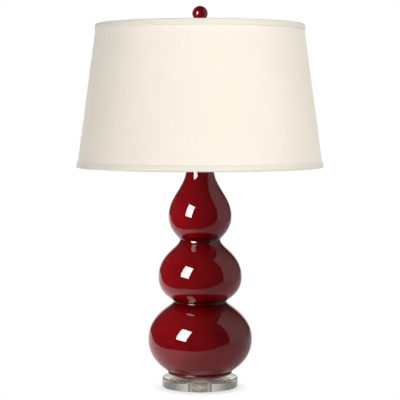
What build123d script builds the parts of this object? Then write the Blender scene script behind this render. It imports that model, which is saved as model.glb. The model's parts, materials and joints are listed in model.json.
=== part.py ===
from build123d import *
import os
from math import cos, radians, sin, sqrt

# Table lamp with a three-belly gourd body of red glazed ceramic on a clear disc base,
# a fabric hardback shade on a harp, and a ceramic ball finial. Everything is in millimetres.
# The origin is the centre of the foot print on the table, +Z is up and the front is -Y.
# The lamp is a stack on one hollow threaded pipe: base nut, clear base, gourd, neck cap,
# lock nut, harp saddle and socket. The harp stands on the saddle and carries the shade.

# ---------------------------------------------------------------- driving dimensions
# clear base and what is under it
BUMPER_RADIUS = 6.0
BUMPER_HEIGHT = 1.6
BUMPER_COUNT = 4
BUMPER_CIRCLE_RADIUS = 60.0
BASE_RADIUS = 74.0
BASE_THICKNESS = 19.0
BASE_EDGE_BEVEL = 1.3
BASE_RECESS_RADIUS = 16.0
BASE_RECESS_DEPTH = 10.0
BASE_WASHER_RADIUS = 12.5
BASE_WASHER_THICKNESS = 1.6
LOCK_WASHER_RADIUS = 8.6
LOCK_WASHER_THICKNESS = 0.9
LOCK_WASHER_TEETH = 10
BASE_NUT_FLATS = 14.3
BASE_NUT_HEIGHT = 4.2
PIPE_END_BELOW_NUT = 1.2

# hollow threaded pipe through the whole lamp
PIPE_RADIUS = 4.95
PIPE_BORE_RADIUS = 3.2
PIPE_CLEARANCE = 0.15

# gourd: radii of its foot, underside, bellies, waists and neck, and the rises between them
FOOT_RADIUS = 46.5
FOOT_ROLL_RADIUS = 62.8
FOOT_ROLL_LEVEL = 8.9
FOOT_HEIGHT = 10.8
FOOT_RING_WIDTH = 8.0
FOOT_RECESS_DEPTH = 2.0
UNDERSIDE_RADIUS = 61.3
FOOT_HOLE_RADIUS = 13.0
LOWER_BELLY_RADIUS = 101.8
MIDDLE_BELLY_RADIUS = 81.6
UPPER_BELLY_RADIUS = 61.6
LOWER_WAIST_RADIUS = 51.9
UPPER_WAIST_RADIUS = 39.5
NECK_RADIUS = 26.5
FOOT_TO_LOWER_BELLY = 64.8
LOWER_BELLY_TO_WAIST = 72.9
LOWER_WAIST_TO_MIDDLE_BELLY = 48.3
MIDDLE_BELLY_TO_WAIST = 73.6
UPPER_WAIST_TO_UPPER_BELLY = 46.0
UPPER_BELLY_TO_NECK = 97.0
GOURD_WALL = 6.0
GOURD_FLOOR = 7.0
NECK_RIM_ROUND = 1.4

# fullness of each stretch of the gourd's outline: how far the curve keeps upright at its
# lower and its upper end, as a share of the stretch's rise
FOOT_ROLL_LEAVE_ANGLE = 32.0
FOOT_ROLL_LEAVE_LENGTH = 9.0
FOOT_ROLL_FULLNESS = 0.4
UNDERSIDE_LEAVE_ANGLE = 35.1
UNDERSIDE_LEAVE_LENGTH = 18.9
UNDERSIDE_FULLNESS = 0.579
LOWER_SHOULDER_FULLNESS = (0.662, 0.076)
MIDDLE_UNDERSIDE_FULLNESS = (0.118, 0.699)
MIDDLE_SHOULDER_FULLNESS = (0.643, 0.207)
UPPER_UNDERSIDE_FULLNESS = (0.097, 0.635)
NECK_FULLNESS = (0.427, 0.424)

# cord outlet bushing, low at the back of the gourd
OUTLET_SHARE = 0.403
OUTLET_FLANGE_RADIUS = 8.5
OUTLET_FLANGE_THICKNESS = 2.0
OUTLET_BARREL_RADIUS = 6.2
OUTLET_BORE_RADIUS = 4.0
OUTLET_BARREL_PAST_WALL = 2.5
OUTLET_CLEARANCE = 0.1
OUTLET_SEAT_DEPTH = 1.2

# neck hardware
CAP_LIP_CLEARANCE = 0.4
CAP_WALL = 1.2
CAP_LIP_DEPTH = 4.0
CAP_RISE = 6.5
CAP_CROWN_RADIUS = 11.0
CAP_RIM_INSET = 1.5
LOCK_NUT_FLATS = 17.0
LOCK_NUT_HEIGHT = 4.0

# harp saddle
SADDLE_THICKNESS = 1.5
SADDLE_WIDTH = 11.0
SADDLE_PLATE_HALF_LENGTH = 12.5
SADDLE_ARM_HEIGHT = 12.0
SADDLE_BEND_RADIUS = 3.0
TONGUE_HALF_GAUGE = 29.0
TONGUE_WIDTH = 3.8
TONGUE_LENGTH = 12.0

# harp, its ferrules and its stud
HARP_HEIGHT = 254.0
HARP_WIRE_RADIUS = 2.0
HARP_HALF_WIDTH = 54.0
HARP_LEG_LENGTH = 36.0
HARP_FLARE_RISE = 46.0
HARP_SIDE_LENGTH = 80.0
HARP_TOP_HALF_WIDTH = 17.0
HARP_LEG_BEND = 16.0
HARP_SIDE_BEND = 40.0
HARP_SHOULDER_BEND = 60.0
HARP_TOP_BEND = 12.0
HARP_END_RADIUS = 2.8
HARP_END_ABOVE_TONGUE = 3.0
HARP_SLOT_CLEARANCE = 0.08
HARP_EYE_LENGTH = 24.0
HARP_EYE_WIDTH = 11.0
HARP_EYE_THICKNESS = 4.2
FERRULE_RADIUS = 4.2
FERRULE_CLEARANCE = 0.08
FERRULE_LENGTH = 14.0
FERRULE_BEAD = 0.5
FERRULE_BEAD_WIDTH = 1.6
HARP_END_SEAT_GAP = 0.3
STUD_RADIUS = 3.1
STUD_SHANK_RADIUS = 2.4
STUD_COLLAR_RADIUS = 7.0
STUD_COLLAR_THICKNESS = 1.8
STUD_LENGTH = 13.0
STUD_RIVET_RADIUS = 3.8
STUD_RIVET_THICKNESS = 1.2

# lamp socket, its switch and its screws
SOCKET_WALL = 0.8
SOCKET_HUB_RADIUS = 8.0
SOCKET_HUB_HEIGHT = 5.0
SOCKET_CAP_RADIUS = 17.2
SOCKET_CAP_HEIGHT = 23.0
SOCKET_CAP_BOWL_RISE = 8.0
SOCKET_BEAD = 0.7
SHELL_CLEARANCE = 0.15
SHELL_INSERTION = 6.5
SHELL_LENGTH = 43.0
LINER_THICKNESS = 0.7
LINER_STANDS_OUT = 2.0
SOCKET_CORE_CLEARANCE = 0.3
SOCKET_CORE_ABOVE_CAP_BOWL = 0.5
SOCKET_CORE_HEIGHT = 18.5
SOCKET_CORE_ROOF = 4.0
SCREW_SHELL_BORE_RADIUS = 13.25
SCREW_SHELL_WALL = 0.5
SCREW_SHELL_TOP_GAP = 3.0
CONTACT_STRIP_WIDTH = 5.0
CONTACT_STRIP_THICKNESS = 0.6
CONTACT_STRIP_REACH = 9.0
CONTACT_STRIP_RISE = 2.6
TERMINAL_SCREW_RADIUS = 3.0
TERMINAL_SCREW_HEAD = 1.8
TERMINAL_SCREW_SHANK_RADIUS = 1.5
TERMINAL_SCREW_LENGTH = 6.0
TERMINAL_FLAT_INSET = 2.6
SET_SCREW_RADIUS = 1.5
SET_SCREW_SLOT = 0.5
SWITCH_SHAFT_RADIUS = 1.6
SWITCH_SHAFT_CLEARANCE = 0.05
SWITCH_SHAFT_INSIDE = 8.0
SWITCH_SHAFT_ABOVE_CAP = 4.0
SWITCH_NOTCH_HALF_WIDTH = 3.4
KNOB_RADIUS = 6.5
KNOB_LENGTH = 12.0
KNOB_STANDOFF = 5.0
KNOB_FLUTES = 12
KNOB_FLUTE_RADIUS = 0.9
KNOB_EDGE_ROUND = 1.2
KNOB_BORE_DEPTH = 9.0

# light bulb
BULB_CONTACT_GAP = 0.2
BULB_CONTACT_RADIUS = 3.6
BULB_CONTACT_HEIGHT = 1.8
BULB_INSULATOR_RADIUS = 7.6
BULB_INSULATOR_HEIGHT = 3.4
BULB_BASE_RADIUS = 12.95
BULB_BASE_WALL = 0.5
BULB_BASE_LENGTH = 20.5
BULB_BASE_SHOULDER = 3.0
BULB_GLASS_RADIUS = 30.0
BULB_GLASS_WALL = 1.0
BULB_NECK_INSERTION = 7.0
BULB_NECK_CLEARANCE = 0.1
BULB_NECK_TO_EQUATOR = 55.0
BULB_NECK_FULLNESS = (0.35, 0.5)

# shade: a fabric cone on a stiff lining, with a wire ring and a folded trim at each edge
SHADE_TOP_RADIUS = 201.4
SHADE_BOTTOM_RADIUS = 239.5
SHADE_HEIGHT = 278.0
SHADE_FABRIC_THICKNESS = 0.7
SHADE_LINING_THICKNESS = 0.7
SHADE_GLUE_GAP = 0.05
TRIM_THICKNESS = 1.8
TRIM_OUTER_WIDTH = 12.0
TRIM_INNER_WIDTH = 4.6
TRIM_CLEARANCE = 0.5
RING_WIRE_RADIUS = 1.5
RING_EDGE_INSET = 0.2
SPIDER_DROP = 12.1
SPIDER_ARM_COUNT = 3
SPIDER_ARM_RADIUS = 1.4
SPIDER_ARM_BEND = 3.4
SPIDER_ARM_START = 9.5
SPIDER_HUB_RADIUS = 13.0
SPIDER_HUB_BORE_RADIUS = 4.2
SPIDER_HUB_THICKNESS = 3.6
SPIDER_HUB_EDGE_ROUND = 0.6
SPIDER_HOLE_CLEARANCE = 0.05

# finial
FINIAL_WASHER_RADIUS = 8.0
FINIAL_WASHER_THICKNESS = 1.2
FINIAL_BORE_CLEARANCE = 0.3
FINIAL_FOOT_RADIUS = 7.0
FINIAL_FOOT_HEIGHT = 2.6
FINIAL_WAIST_RADIUS = 5.0
FINIAL_CUP_RADIUS = 6.6
FINIAL_CUP_HEIGHT = 2.4
FINIAL_BASE_HEIGHT = 13.9
FINIAL_STEM_RADIUS = 3.4
FINIAL_STEM_LENGTH = 8.0
FINIAL_STEM_CLEARANCE = 0.1
FINIAL_BORE_ABOVE_STUD = 0.8
FINIAL_BALL_RADIUS = 15.0
FINIAL_BALL_FLAT_DEPTH = 1.0

# ---------------------------------------------------------------- heights of the stack
BASE_BOTTOM = BUMPER_HEIGHT
BASE_TOP = BASE_BOTTOM + BASE_THICKNESS
RECESS_TOP = BASE_BOTTOM + BASE_RECESS_DEPTH
BASE_WASHER_BOTTOM = RECESS_TOP - BASE_WASHER_THICKNESS
LOCK_WASHER_BOTTOM = BASE_WASHER_BOTTOM - LOCK_WASHER_THICKNESS
BASE_NUT_BOTTOM = LOCK_WASHER_BOTTOM - BASE_NUT_HEIGHT
PIPE_BOTTOM = BASE_NUT_BOTTOM - PIPE_END_BELOW_NUT

FOOT_TOP = BASE_TOP + FOOT_HEIGHT
LOWER_BELLY = FOOT_TOP + FOOT_TO_LOWER_BELLY
LOWER_WAIST = LOWER_BELLY + LOWER_BELLY_TO_WAIST
MIDDLE_BELLY = LOWER_WAIST + LOWER_WAIST_TO_MIDDLE_BELLY
UPPER_WAIST = MIDDLE_BELLY + MIDDLE_BELLY_TO_WAIST
UPPER_BELLY = UPPER_WAIST + UPPER_WAIST_TO_UPPER_BELLY
NECK_TOP = UPPER_BELLY + UPPER_BELLY_TO_NECK

GOURD_STATIONS = [
    (LOWER_BELLY_RADIUS, LOWER_BELLY),
    (LOWER_WAIST_RADIUS, LOWER_WAIST),
    (MIDDLE_BELLY_RADIUS, MIDDLE_BELLY),
    (UPPER_WAIST_RADIUS, UPPER_WAIST),
    (UPPER_BELLY_RADIUS, UPPER_BELLY),
    (NECK_RADIUS, NECK_TOP),
]
GOURD_FULLNESS = [
    LOWER_SHOULDER_FULLNESS,
    MIDDLE_UNDERSIDE_FULLNESS,
    MIDDLE_SHOULDER_FULLNESS,
    UPPER_UNDERSIDE_FULLNESS,
    NECK_FULLNESS,
]

LOCK_NUT_BOTTOM = NECK_TOP + CAP_RISE
SADDLE_BOTTOM = LOCK_NUT_BOTTOM + LOCK_NUT_HEIGHT
SADDLE_TOP = SADDLE_BOTTOM + SADDLE_THICKNESS
TONGUE_BOTTOM = SADDLE_BOTTOM + SADDLE_ARM_HEIGHT
TONGUE_TOP = TONGUE_BOTTOM + TONGUE_LENGTH

PIPE_HOLE_RADIUS = PIPE_RADIUS + PIPE_CLEARANCE
SOCKET_BOTTOM = SADDLE_TOP
SOCKET_CAP_TOP = SOCKET_BOTTOM + SOCKET_CAP_HEIGHT
SHELL_BOTTOM = SOCKET_CAP_TOP - SHELL_INSERTION
SHELL_TOP = SHELL_BOTTOM + SHELL_LENGTH
SHELL_RADIUS = SOCKET_CAP_RADIUS - SOCKET_WALL - SHELL_CLEARANCE
LINER_RADIUS = SHELL_RADIUS - SOCKET_WALL - SHELL_CLEARANCE
LINER_TOP = SHELL_TOP + LINER_STANDS_OUT
CORE_RADIUS = LINER_RADIUS - LINER_THICKNESS - SOCKET_CORE_CLEARANCE
CORE_BOTTOM = SOCKET_BOTTOM + SOCKET_HUB_HEIGHT + SOCKET_CAP_BOWL_RISE + SOCKET_CORE_ABOVE_CAP_BOWL
CORE_TOP = CORE_BOTTOM + SOCKET_CORE_HEIGHT
PIPE_TOP = SOCKET_BOTTOM + SOCKET_HUB_HEIGHT
SWITCH_AXIS = SOCKET_CAP_TOP + SWITCH_SHAFT_ABOVE_CAP
KNOB_INNER_END = SHELL_RADIUS + KNOB_STANDOFF

BULB_TIP = CORE_TOP + CONTACT_STRIP_THICKNESS + CONTACT_STRIP_RISE + BULB_CONTACT_GAP
BULB_BASE_BOTTOM = BULB_TIP + BULB_CONTACT_HEIGHT + BULB_INSULATOR_HEIGHT
BULB_BASE_TOP = BULB_BASE_BOTTOM + BULB_BASE_LENGTH
BULB_NECK_RADIUS = BULB_BASE_RADIUS - BULB_BASE_WALL - BULB_NECK_CLEARANCE
BULB_EQUATOR = BULB_BASE_TOP + BULB_NECK_TO_EQUATOR

HARP_BOTTOM = TONGUE_BOTTOM + HARP_END_SEAT_GAP
HARP_END_TOP = TONGUE_TOP + HARP_END_ABOVE_TONGUE
HARP_TOP = SADDLE_BOTTOM + HARP_HEIGHT
EYE_TOP = HARP_TOP - STUD_COLLAR_THICKNESS
EYE_BOTTOM = EYE_TOP - HARP_EYE_THICKNESS
HARP_WIRE_TOP = (EYE_TOP + EYE_BOTTOM) / 2
STUD_TOP = HARP_TOP + STUD_LENGTH

HUB_TOP = HARP_TOP + SPIDER_HUB_THICKNESS
ARM_LEVEL = (HARP_TOP + HUB_TOP) / 2
SHADE_RIM = HARP_TOP + SPIDER_DROP
SHADE_BASE = SHADE_RIM - SHADE_HEIGHT
FABRIC_TOP = SHADE_RIM - TRIM_THICKNESS
FABRIC_BOTTOM = SHADE_BASE + TRIM_THICKNESS
LINING_OFFSET = SHADE_FABRIC_THICKNESS + SHADE_GLUE_GAP
RING_OFFSET = LINING_OFFSET + SHADE_LINING_THICKNESS + SHADE_GLUE_GAP + RING_WIRE_RADIUS
TOP_RING_LEVEL = FABRIC_TOP - RING_EDGE_INSET - RING_WIRE_RADIUS
BOTTOM_RING_LEVEL = FABRIC_BOTTOM + RING_EDGE_INSET + RING_WIRE_RADIUS

WASHER_TOP = HUB_TOP + FINIAL_WASHER_THICKNESS
FINIAL_BASE_TOP = WASHER_TOP + FINIAL_BASE_HEIGHT
FINIAL_BORE_RADIUS = STUD_RADIUS + FINIAL_BORE_CLEARANCE
BALL_CENTRE = FINIAL_BASE_TOP + FINIAL_BALL_RADIUS - FINIAL_BALL_FLAT_DEPTH


# ---------------------------------------------------------------- helpers
# Half sections are drawn with (radius, height) as their two coordinates and then stood up.
def turned(half_section):
    """The solid that a half section makes when it is turned about the lamp's axis."""
    return revolve(Plane.XZ * half_section, Axis.Z)


def turned_points(*points):
    """The turned solid of a half section with straight sides, from (radius, height) pairs."""
    return turned(make_face(Polyline(*points, close=True)))


def tube(outer, bore, bottom, top):
    """An upright tube on the lamp's axis."""
    return Pos(0, 0, bottom) * extrude(Circle(outer) - Circle(bore), top - bottom)


def hex_nut(flats, bore, bottom, height):
    """A hexagon nut with its outer corners turned off, top and bottom."""
    corner = flats / 2 / cos(radians(30))
    blank = Pos(0, 0, bottom) * extrude(RegularPolygon(corner, 6) - Circle(bore), height)
    turn = (corner - flats / 2) * 0.9
    lens = turned_points(
        (0, bottom), (flats / 2, bottom), (corner, bottom + turn),
        (corner, bottom + height - turn), (flats / 2, bottom + height), (0, bottom + height),
    )
    return blank & lens


def rise_curve(lower, upper, fullness):
    """One stretch of a turned outline, upright at both ends, between two (radius, height) pairs."""
    rise = upper[1] - lower[1]
    return Bezier(
        lower,
        (lower[0], lower[1] + fullness[0] * rise),
        (upper[0], upper[1] - fullness[1] * rise),
        upper,
    )


# ---------------------------------------------------------------- base
def bumper_feet():
    """Four small clear feet under the base."""
    foot = extrude(Circle(BUMPER_RADIUS), BUMPER_HEIGHT)
    places = PolarLocations(BUMPER_CIRCLE_RADIUS, BUMPER_COUNT, start_angle=45)
    return Compound(children=[place * foot for place in places])


def clear_base():
    """Polished disc with a hole for the pipe and a recess below for its nut and washers."""
    disc = tube(BASE_RADIUS, PIPE_HOLE_RADIUS, BASE_BOTTOM, BASE_TOP)
    rims = disc.edges().filter_by(GeomType.CIRCLE).group_by(SortBy.RADIUS)[-1]
    disc = chamfer(rims, BASE_EDGE_BEVEL)
    return disc - Pos(0, 0, BASE_BOTTOM) * extrude(Circle(BASE_RECESS_RADIUS), BASE_RECESS_DEPTH)


def base_washer():
    return tube(BASE_WASHER_RADIUS, PIPE_HOLE_RADIUS, BASE_WASHER_BOTTOM, RECESS_TOP)


def base_lock_washer():
    """Internal-tooth lock washer: a ring with teeth that point at the pipe."""
    root = (LOCK_WASHER_RADIUS + PIPE_HOLE_RADIUS) / 2
    gap_angle = 360 / LOCK_WASHER_TEETH / 2
    gap = Circle(root) - Circle(PIPE_HOLE_RADIUS / 2)
    sector = make_face(Polyline(
        (0, 0),
        (LOCK_WASHER_RADIUS, 0),
        (LOCK_WASHER_RADIUS * cos(radians(gap_angle)), LOCK_WASHER_RADIUS * sin(radians(gap_angle))),
        close=True,
    ))
    gaps = PolarLocations(0, LOCK_WASHER_TEETH) * (gap & sector)
    flat = Circle(LOCK_WASHER_RADIUS) - Circle(PIPE_HOLE_RADIUS) - gaps
    return Pos(0, 0, LOCK_WASHER_BOTTOM) * extrude(flat, LOCK_WASHER_THICKNESS)


def base_nut():
    return hex_nut(BASE_NUT_FLATS, PIPE_HOLE_RADIUS, BASE_NUT_BOTTOM, BASE_NUT_HEIGHT)


def threaded_pipe():
    return tube(PIPE_RADIUS, PIPE_BORE_RADIUS, PIPE_BOTTOM, PIPE_TOP)


# ---------------------------------------------------------------- gourd
def underside_curve(inset=0.0):
    """The outline from the top of the foot out to the lower belly, moved inwards by an inset."""
    slope = radians(UNDERSIDE_LEAVE_ANGLE)
    start = Vector(UNDERSIDE_RADIUS - inset * sin(slope), FOOT_TOP + inset * cos(slope))
    leave = start + UNDERSIDE_LEAVE_LENGTH * Vector(cos(slope), sin(slope))
    end = (LOWER_BELLY_RADIUS - inset, LOWER_BELLY)
    arrive = (end[0], LOWER_BELLY - UNDERSIDE_FULLNESS * FOOT_TO_LOWER_BELLY)
    return Bezier(start, leave, arrive, end)


def body_stretches(inset=0.0):
    """The outline's stretches above the lower belly, moved inwards by an inset."""
    return [
        inset_curve(GOURD_STATIONS[index], GOURD_STATIONS[index + 1], fullness, inset)
        for index, fullness in enumerate(GOURD_FULLNESS)
    ]


def inset_curve(lower, upper, fullness, inset):
    """A stretch moved inwards, with the bend at each end eased or tightened to keep the wall even."""
    rise = upper[1] - lower[1]
    ease = 2 / 3 * (upper[0] - lower[0]) * inset
    eased = (
        sqrt((fullness[0] * rise) ** 2 + ease) / rise,
        sqrt((fullness[1] * rise) ** 2 - ease) / rise,
    )
    return rise_curve((lower[0] - inset, lower[1]), (upper[0] - inset, upper[1]), eased)


def foot_roll():
    """The foot's rolled outside: out from the base to its widest, then in to the crease over it."""
    slope = radians(FOOT_ROLL_LEAVE_ANGLE)
    start = Vector(FOOT_RADIUS, BASE_TOP)
    leave = start + FOOT_ROLL_LEAVE_LENGTH * Vector(cos(slope), sin(slope))
    widest = (FOOT_ROLL_RADIUS, BASE_TOP + FOOT_ROLL_LEVEL)
    arrive = (FOOT_ROLL_RADIUS, BASE_TOP + (1 - FOOT_ROLL_FULLNESS) * FOOT_ROLL_LEVEL)
    shoulder = (FOOT_ROLL_RADIUS, (widest[1] + FOOT_TOP) / 2)
    return [
        Bezier(start, leave, arrive, widest),
        Bezier(widest, shoulder, (UNDERSIDE_RADIUS, FOOT_TOP)),
    ]


def gourd_outside():
    """The whole gourd as if it were solid, with a rolled foot and a crease over the roll."""
    return turned(make_face([
        Line((0, BASE_TOP), (FOOT_RADIUS, BASE_TOP)),
        *foot_roll(),
        underside_curve(),
        *body_stretches(),
        Line((NECK_RADIUS, NECK_TOP), (0, NECK_TOP)),
        Line((0, NECK_TOP), (0, BASE_TOP)),
    ]))


def gourd_hollow():
    """The space inside the gourd, from its floor up through the neck."""
    floor = BASE_TOP + GOURD_FLOOR
    underside = underside_curve(GOURD_WALL)
    neck = NECK_RADIUS - GOURD_WALL
    return turned(make_face([
        Line((0, floor), (FOOT_RADIUS - GOURD_WALL, floor)),
        Line((FOOT_RADIUS - GOURD_WALL, floor), underside @ 0),
        underside,
        *body_stretches(GOURD_WALL),
        Line((neck, NECK_TOP), (0, NECK_TOP)),
        Line((0, NECK_TOP), (0, floor)),
    ]))


def outlet_plane():
    """Plane on the gourd's skin at the cord outlet, at the back, facing straight out of the skin."""
    curve = underside_curve()
    point = curve @ OUTLET_SHARE
    along = curve % OUTLET_SHARE
    return Plane(origin=(0, point.X, point.Y), x_dir=(1, 0, 0), z_dir=(0, along.Y, -along.X))


def gourd_body():
    """Hollow gourd with a foot ring, a neck opening, a floor hole and the cord outlet's hole."""
    body = gourd_outside() - gourd_hollow()
    body -= Pos(0, 0, BASE_TOP) * extrude(Circle(FOOT_RADIUS - FOOT_RING_WIDTH), FOOT_RECESS_DEPTH)
    body -= Pos(0, 0, BASE_TOP) * extrude(Circle(FOOT_HOLE_RADIUS), GOURD_FLOOR)
    rim = body.edges().filter_by(GeomType.CIRCLE).group_by(Axis.Z)[-1].sort_by(SortBy.RADIUS)[-1]
    body = fillet(rim, NECK_RIM_ROUND)
    seat = extrude(Circle(OUTLET_FLANGE_RADIUS + OUTLET_CLEARANCE), OUTLET_FLANGE_RADIUS)
    hole = extrude(Circle(OUTLET_BARREL_RADIUS + OUTLET_CLEARANCE), OUTLET_FLANGE_RADIUS, both=True)
    body -= outlet_plane() * Pos(0, 0, -OUTLET_SEAT_DEPTH) * seat
    return body - outlet_plane() * hole


def cord_bushing():
    """Flanged bushing that lines the cord outlet."""
    length = GOURD_WALL - OUTLET_SEAT_DEPTH + OUTLET_BARREL_PAST_WALL
    flange = extrude(Circle(OUTLET_FLANGE_RADIUS), OUTLET_FLANGE_THICKNESS)
    flange = fillet(flange.edges().group_by(Axis.Z)[-1], OUTLET_FLANGE_THICKNESS / 2)
    barrel = Pos(0, 0, -length) * extrude(Circle(OUTLET_BARREL_RADIUS), length)
    bore = extrude(Circle(OUTLET_BORE_RADIUS), 2 * length, both=True)
    return outlet_plane() * Pos(0, 0, -OUTLET_SEAT_DEPTH) * (flange + barrel - bore)


# ---------------------------------------------------------------- neck hardware
def neck_cap():
    """Spun cap on the neck rim: a lip in the opening, a rounded shoulder and a flat crown."""
    lip = NECK_RADIUS - GOURD_WALL - CAP_LIP_CLEARANCE
    rim = NECK_RADIUS - CAP_RIM_INSET
    crown_top = NECK_TOP + CAP_RISE
    crown_inside = crown_top - CAP_WALL
    shoulder = ThreePointArc(
        (rim, NECK_TOP + CAP_WALL),
        ((rim + CAP_CROWN_RADIUS) / 2, NECK_TOP + 0.3 * CAP_RISE + CAP_WALL),
        (CAP_CROWN_RADIUS, crown_top),
    )
    inside = Polyline(
        (CAP_CROWN_RADIUS, crown_top), (PIPE_HOLE_RADIUS, crown_top), (PIPE_HOLE_RADIUS, crown_inside),
        (CAP_CROWN_RADIUS - CAP_WALL, crown_inside), (lip - CAP_WALL, NECK_TOP + CAP_WALL / 2),
        (lip - CAP_WALL, NECK_TOP - CAP_LIP_DEPTH), (lip, NECK_TOP - CAP_LIP_DEPTH),
        (lip, NECK_TOP), (rim, NECK_TOP), (rim, NECK_TOP + CAP_WALL),
    )
    return turned(make_face([shoulder, *inside.edges()]))


def neck_lock_nut():
    return hex_nut(LOCK_NUT_FLATS, PIPE_HOLE_RADIUS, LOCK_NUT_BOTTOM, LOCK_NUT_HEIGHT)


def harp_saddle():
    """Bent strip under the socket, with an upright tongue at each end for the harp."""
    level = SADDLE_BOTTOM + SADDLE_THICKNESS / 2
    end = TONGUE_TOP - SADDLE_THICKNESS / 2
    path = FilletPolyline(
        (-TONGUE_HALF_GAUGE, end),
        (-TONGUE_HALF_GAUGE, TONGUE_BOTTOM - SADDLE_BEND_RADIUS),
        (-SADDLE_PLATE_HALF_LENGTH, level),
        (SADDLE_PLATE_HALF_LENGTH, level),
        (TONGUE_HALF_GAUGE, TONGUE_BOTTOM - SADDLE_BEND_RADIUS),
        (TONGUE_HALF_GAUGE, end),
        radius=SADDLE_BEND_RADIUS,
    )
    strip = make_face(offset(path, SADDLE_THICKNESS / 2, kind=Kind.INTERSECTION).edges())
    saddle = extrude(Plane.XZ * strip, SADDLE_WIDTH / 2, both=True)
    side = Box(
        3 * TONGUE_HALF_GAUGE, SADDLE_WIDTH, 2 * TONGUE_LENGTH,
        align=(Align.CENTER, Align.MIN, Align.MIN),
    )
    near_side = Pos(0, TONGUE_WIDTH / 2, TONGUE_BOTTOM) * side
    saddle -= [near_side, mirror(near_side, Plane.XZ)]
    return saddle - Pos(0, 0, SADDLE_BOTTOM) * extrude(Circle(PIPE_HOLE_RADIUS), SADDLE_THICKNESS)


# ---------------------------------------------------------------- socket
def socket_cap():
    """Lower cup of the socket shell, with the threaded hub that screws on the pipe."""
    hub_top = SOCKET_BOTTOM + SOCKET_HUB_HEIGHT
    bowl_top = hub_top + SOCKET_CAP_BOWL_RISE
    inside = SOCKET_CAP_RADIUS - SOCKET_WALL
    cup = turned_points(
        (PIPE_HOLE_RADIUS, SOCKET_BOTTOM), (SOCKET_HUB_RADIUS, SOCKET_BOTTOM),
        (SOCKET_HUB_RADIUS, hub_top - SOCKET_WALL), (SOCKET_CAP_RADIUS, bowl_top - SOCKET_WALL),
        (SOCKET_CAP_RADIUS, SOCKET_CAP_TOP), (inside, SOCKET_CAP_TOP), (inside, bowl_top),
        (SOCKET_HUB_RADIUS, hub_top), (PIPE_HOLE_RADIUS, hub_top),
    )
    bead_level = SOCKET_CAP_TOP - 2 * SOCKET_BEAD
    bead = Pos(0, 0, bead_level) * Torus(SOCKET_CAP_RADIUS - SOCKET_BEAD / 2, SOCKET_BEAD)
    bead -= Pos(0, 0, bead_level - SOCKET_BEAD) * extrude(Circle(inside), 2 * SOCKET_BEAD)
    return cup + bead - set_screw_shape(SET_SCREW_RADIUS + PIPE_CLEARANCE, 0)


def set_screw_shape(radius, slot):
    """The hub's set screw, or with no slot the hole for it."""
    start = PIPE_HOLE_RADIUS if slot else PIPE_RADIUS
    length = SOCKET_HUB_RADIUS - start + SET_SCREW_SLOT
    screw = extrude(Circle(radius), length)
    if slot:
        screw -= Pos(0, 0, length) * Box(slot, 2 * radius, 2 * slot)
    level = SOCKET_BOTTOM + SOCKET_HUB_HEIGHT / 2
    return Pos(0, 0, level) * Rot(0, 90, 0) * Pos(0, 0, start) * screw


def socket_set_screw():
    return set_screw_shape(SET_SCREW_RADIUS, SET_SCREW_SLOT)


def switch_notch(bottom):
    """Slot, open at the bottom, that lets a shell pass down over the switch shaft."""
    slot = Pos(0, 0, bottom) * Box(
        2 * SWITCH_NOTCH_HALF_WIDTH, SOCKET_CAP_RADIUS, SWITCH_AXIS - bottom,
        align=(Align.CENTER, Align.MAX, Align.MIN),
    )
    end = Pos(0, 0, SWITCH_AXIS) * Rot(90, 0, 0) * extrude(
        Circle(SWITCH_NOTCH_HALF_WIDTH), SOCKET_CAP_RADIUS)
    return slot + end


def socket_shell():
    """Upper shell of the socket, with a bead under its mouth."""
    shell = tube(SHELL_RADIUS, SHELL_RADIUS - SOCKET_WALL, SHELL_BOTTOM, SHELL_TOP)
    bead_level = SHELL_TOP - 4 * SOCKET_BEAD
    bead = Pos(0, 0, bead_level) * Torus(SHELL_RADIUS - SOCKET_BEAD / 2, SOCKET_BEAD)
    bead -= tube(SHELL_RADIUS - SOCKET_WALL, 1, bead_level - SOCKET_BEAD, bead_level + SOCKET_BEAD)
    return shell + bead - switch_notch(SHELL_BOTTOM)


def socket_insulator():
    """Insulating sleeve inside the shell, standing a little out of its mouth."""
    bottom = SHELL_BOTTOM + SOCKET_WALL
    return tube(LINER_RADIUS, LINER_RADIUS - LINER_THICKNESS, bottom, LINER_TOP) - switch_notch(bottom)


def socket_interior():
    """Moulded core with a flat for each terminal and the bore of the switch shaft."""
    core = turned_points(
        (PIPE_BORE_RADIUS, CORE_BOTTOM), (CORE_RADIUS, CORE_BOTTOM), (CORE_RADIUS, CORE_TOP),
        (0, CORE_TOP), (0, CORE_TOP - SOCKET_CORE_ROOF), (PIPE_BORE_RADIUS, CORE_TOP - SOCKET_CORE_ROOF),
    )
    flat_height = SOCKET_CORE_HEIGHT / 2
    flat = Pos(CORE_RADIUS - TERMINAL_FLAT_INSET, 0, CORE_BOTTOM) * Box(
        CORE_RADIUS, 2 * CORE_RADIUS, flat_height, align=(Align.MIN, Align.CENTER, Align.MIN))
    core -= [flat, mirror(flat, Plane.YZ)]
    bore = Rot(90, 0, 0) * extrude(Circle(SWITCH_SHAFT_RADIUS + SWITCH_SHAFT_CLEARANCE), CORE_RADIUS)
    inner = Pos(0, -(CORE_RADIUS - SWITCH_SHAFT_INSIDE - SWITCH_SHAFT_CLEARANCE), SWITCH_AXIS) * bore
    return core - inner - terminal_pair(0, SWITCH_SHAFT_CLEARANCE)


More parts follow.
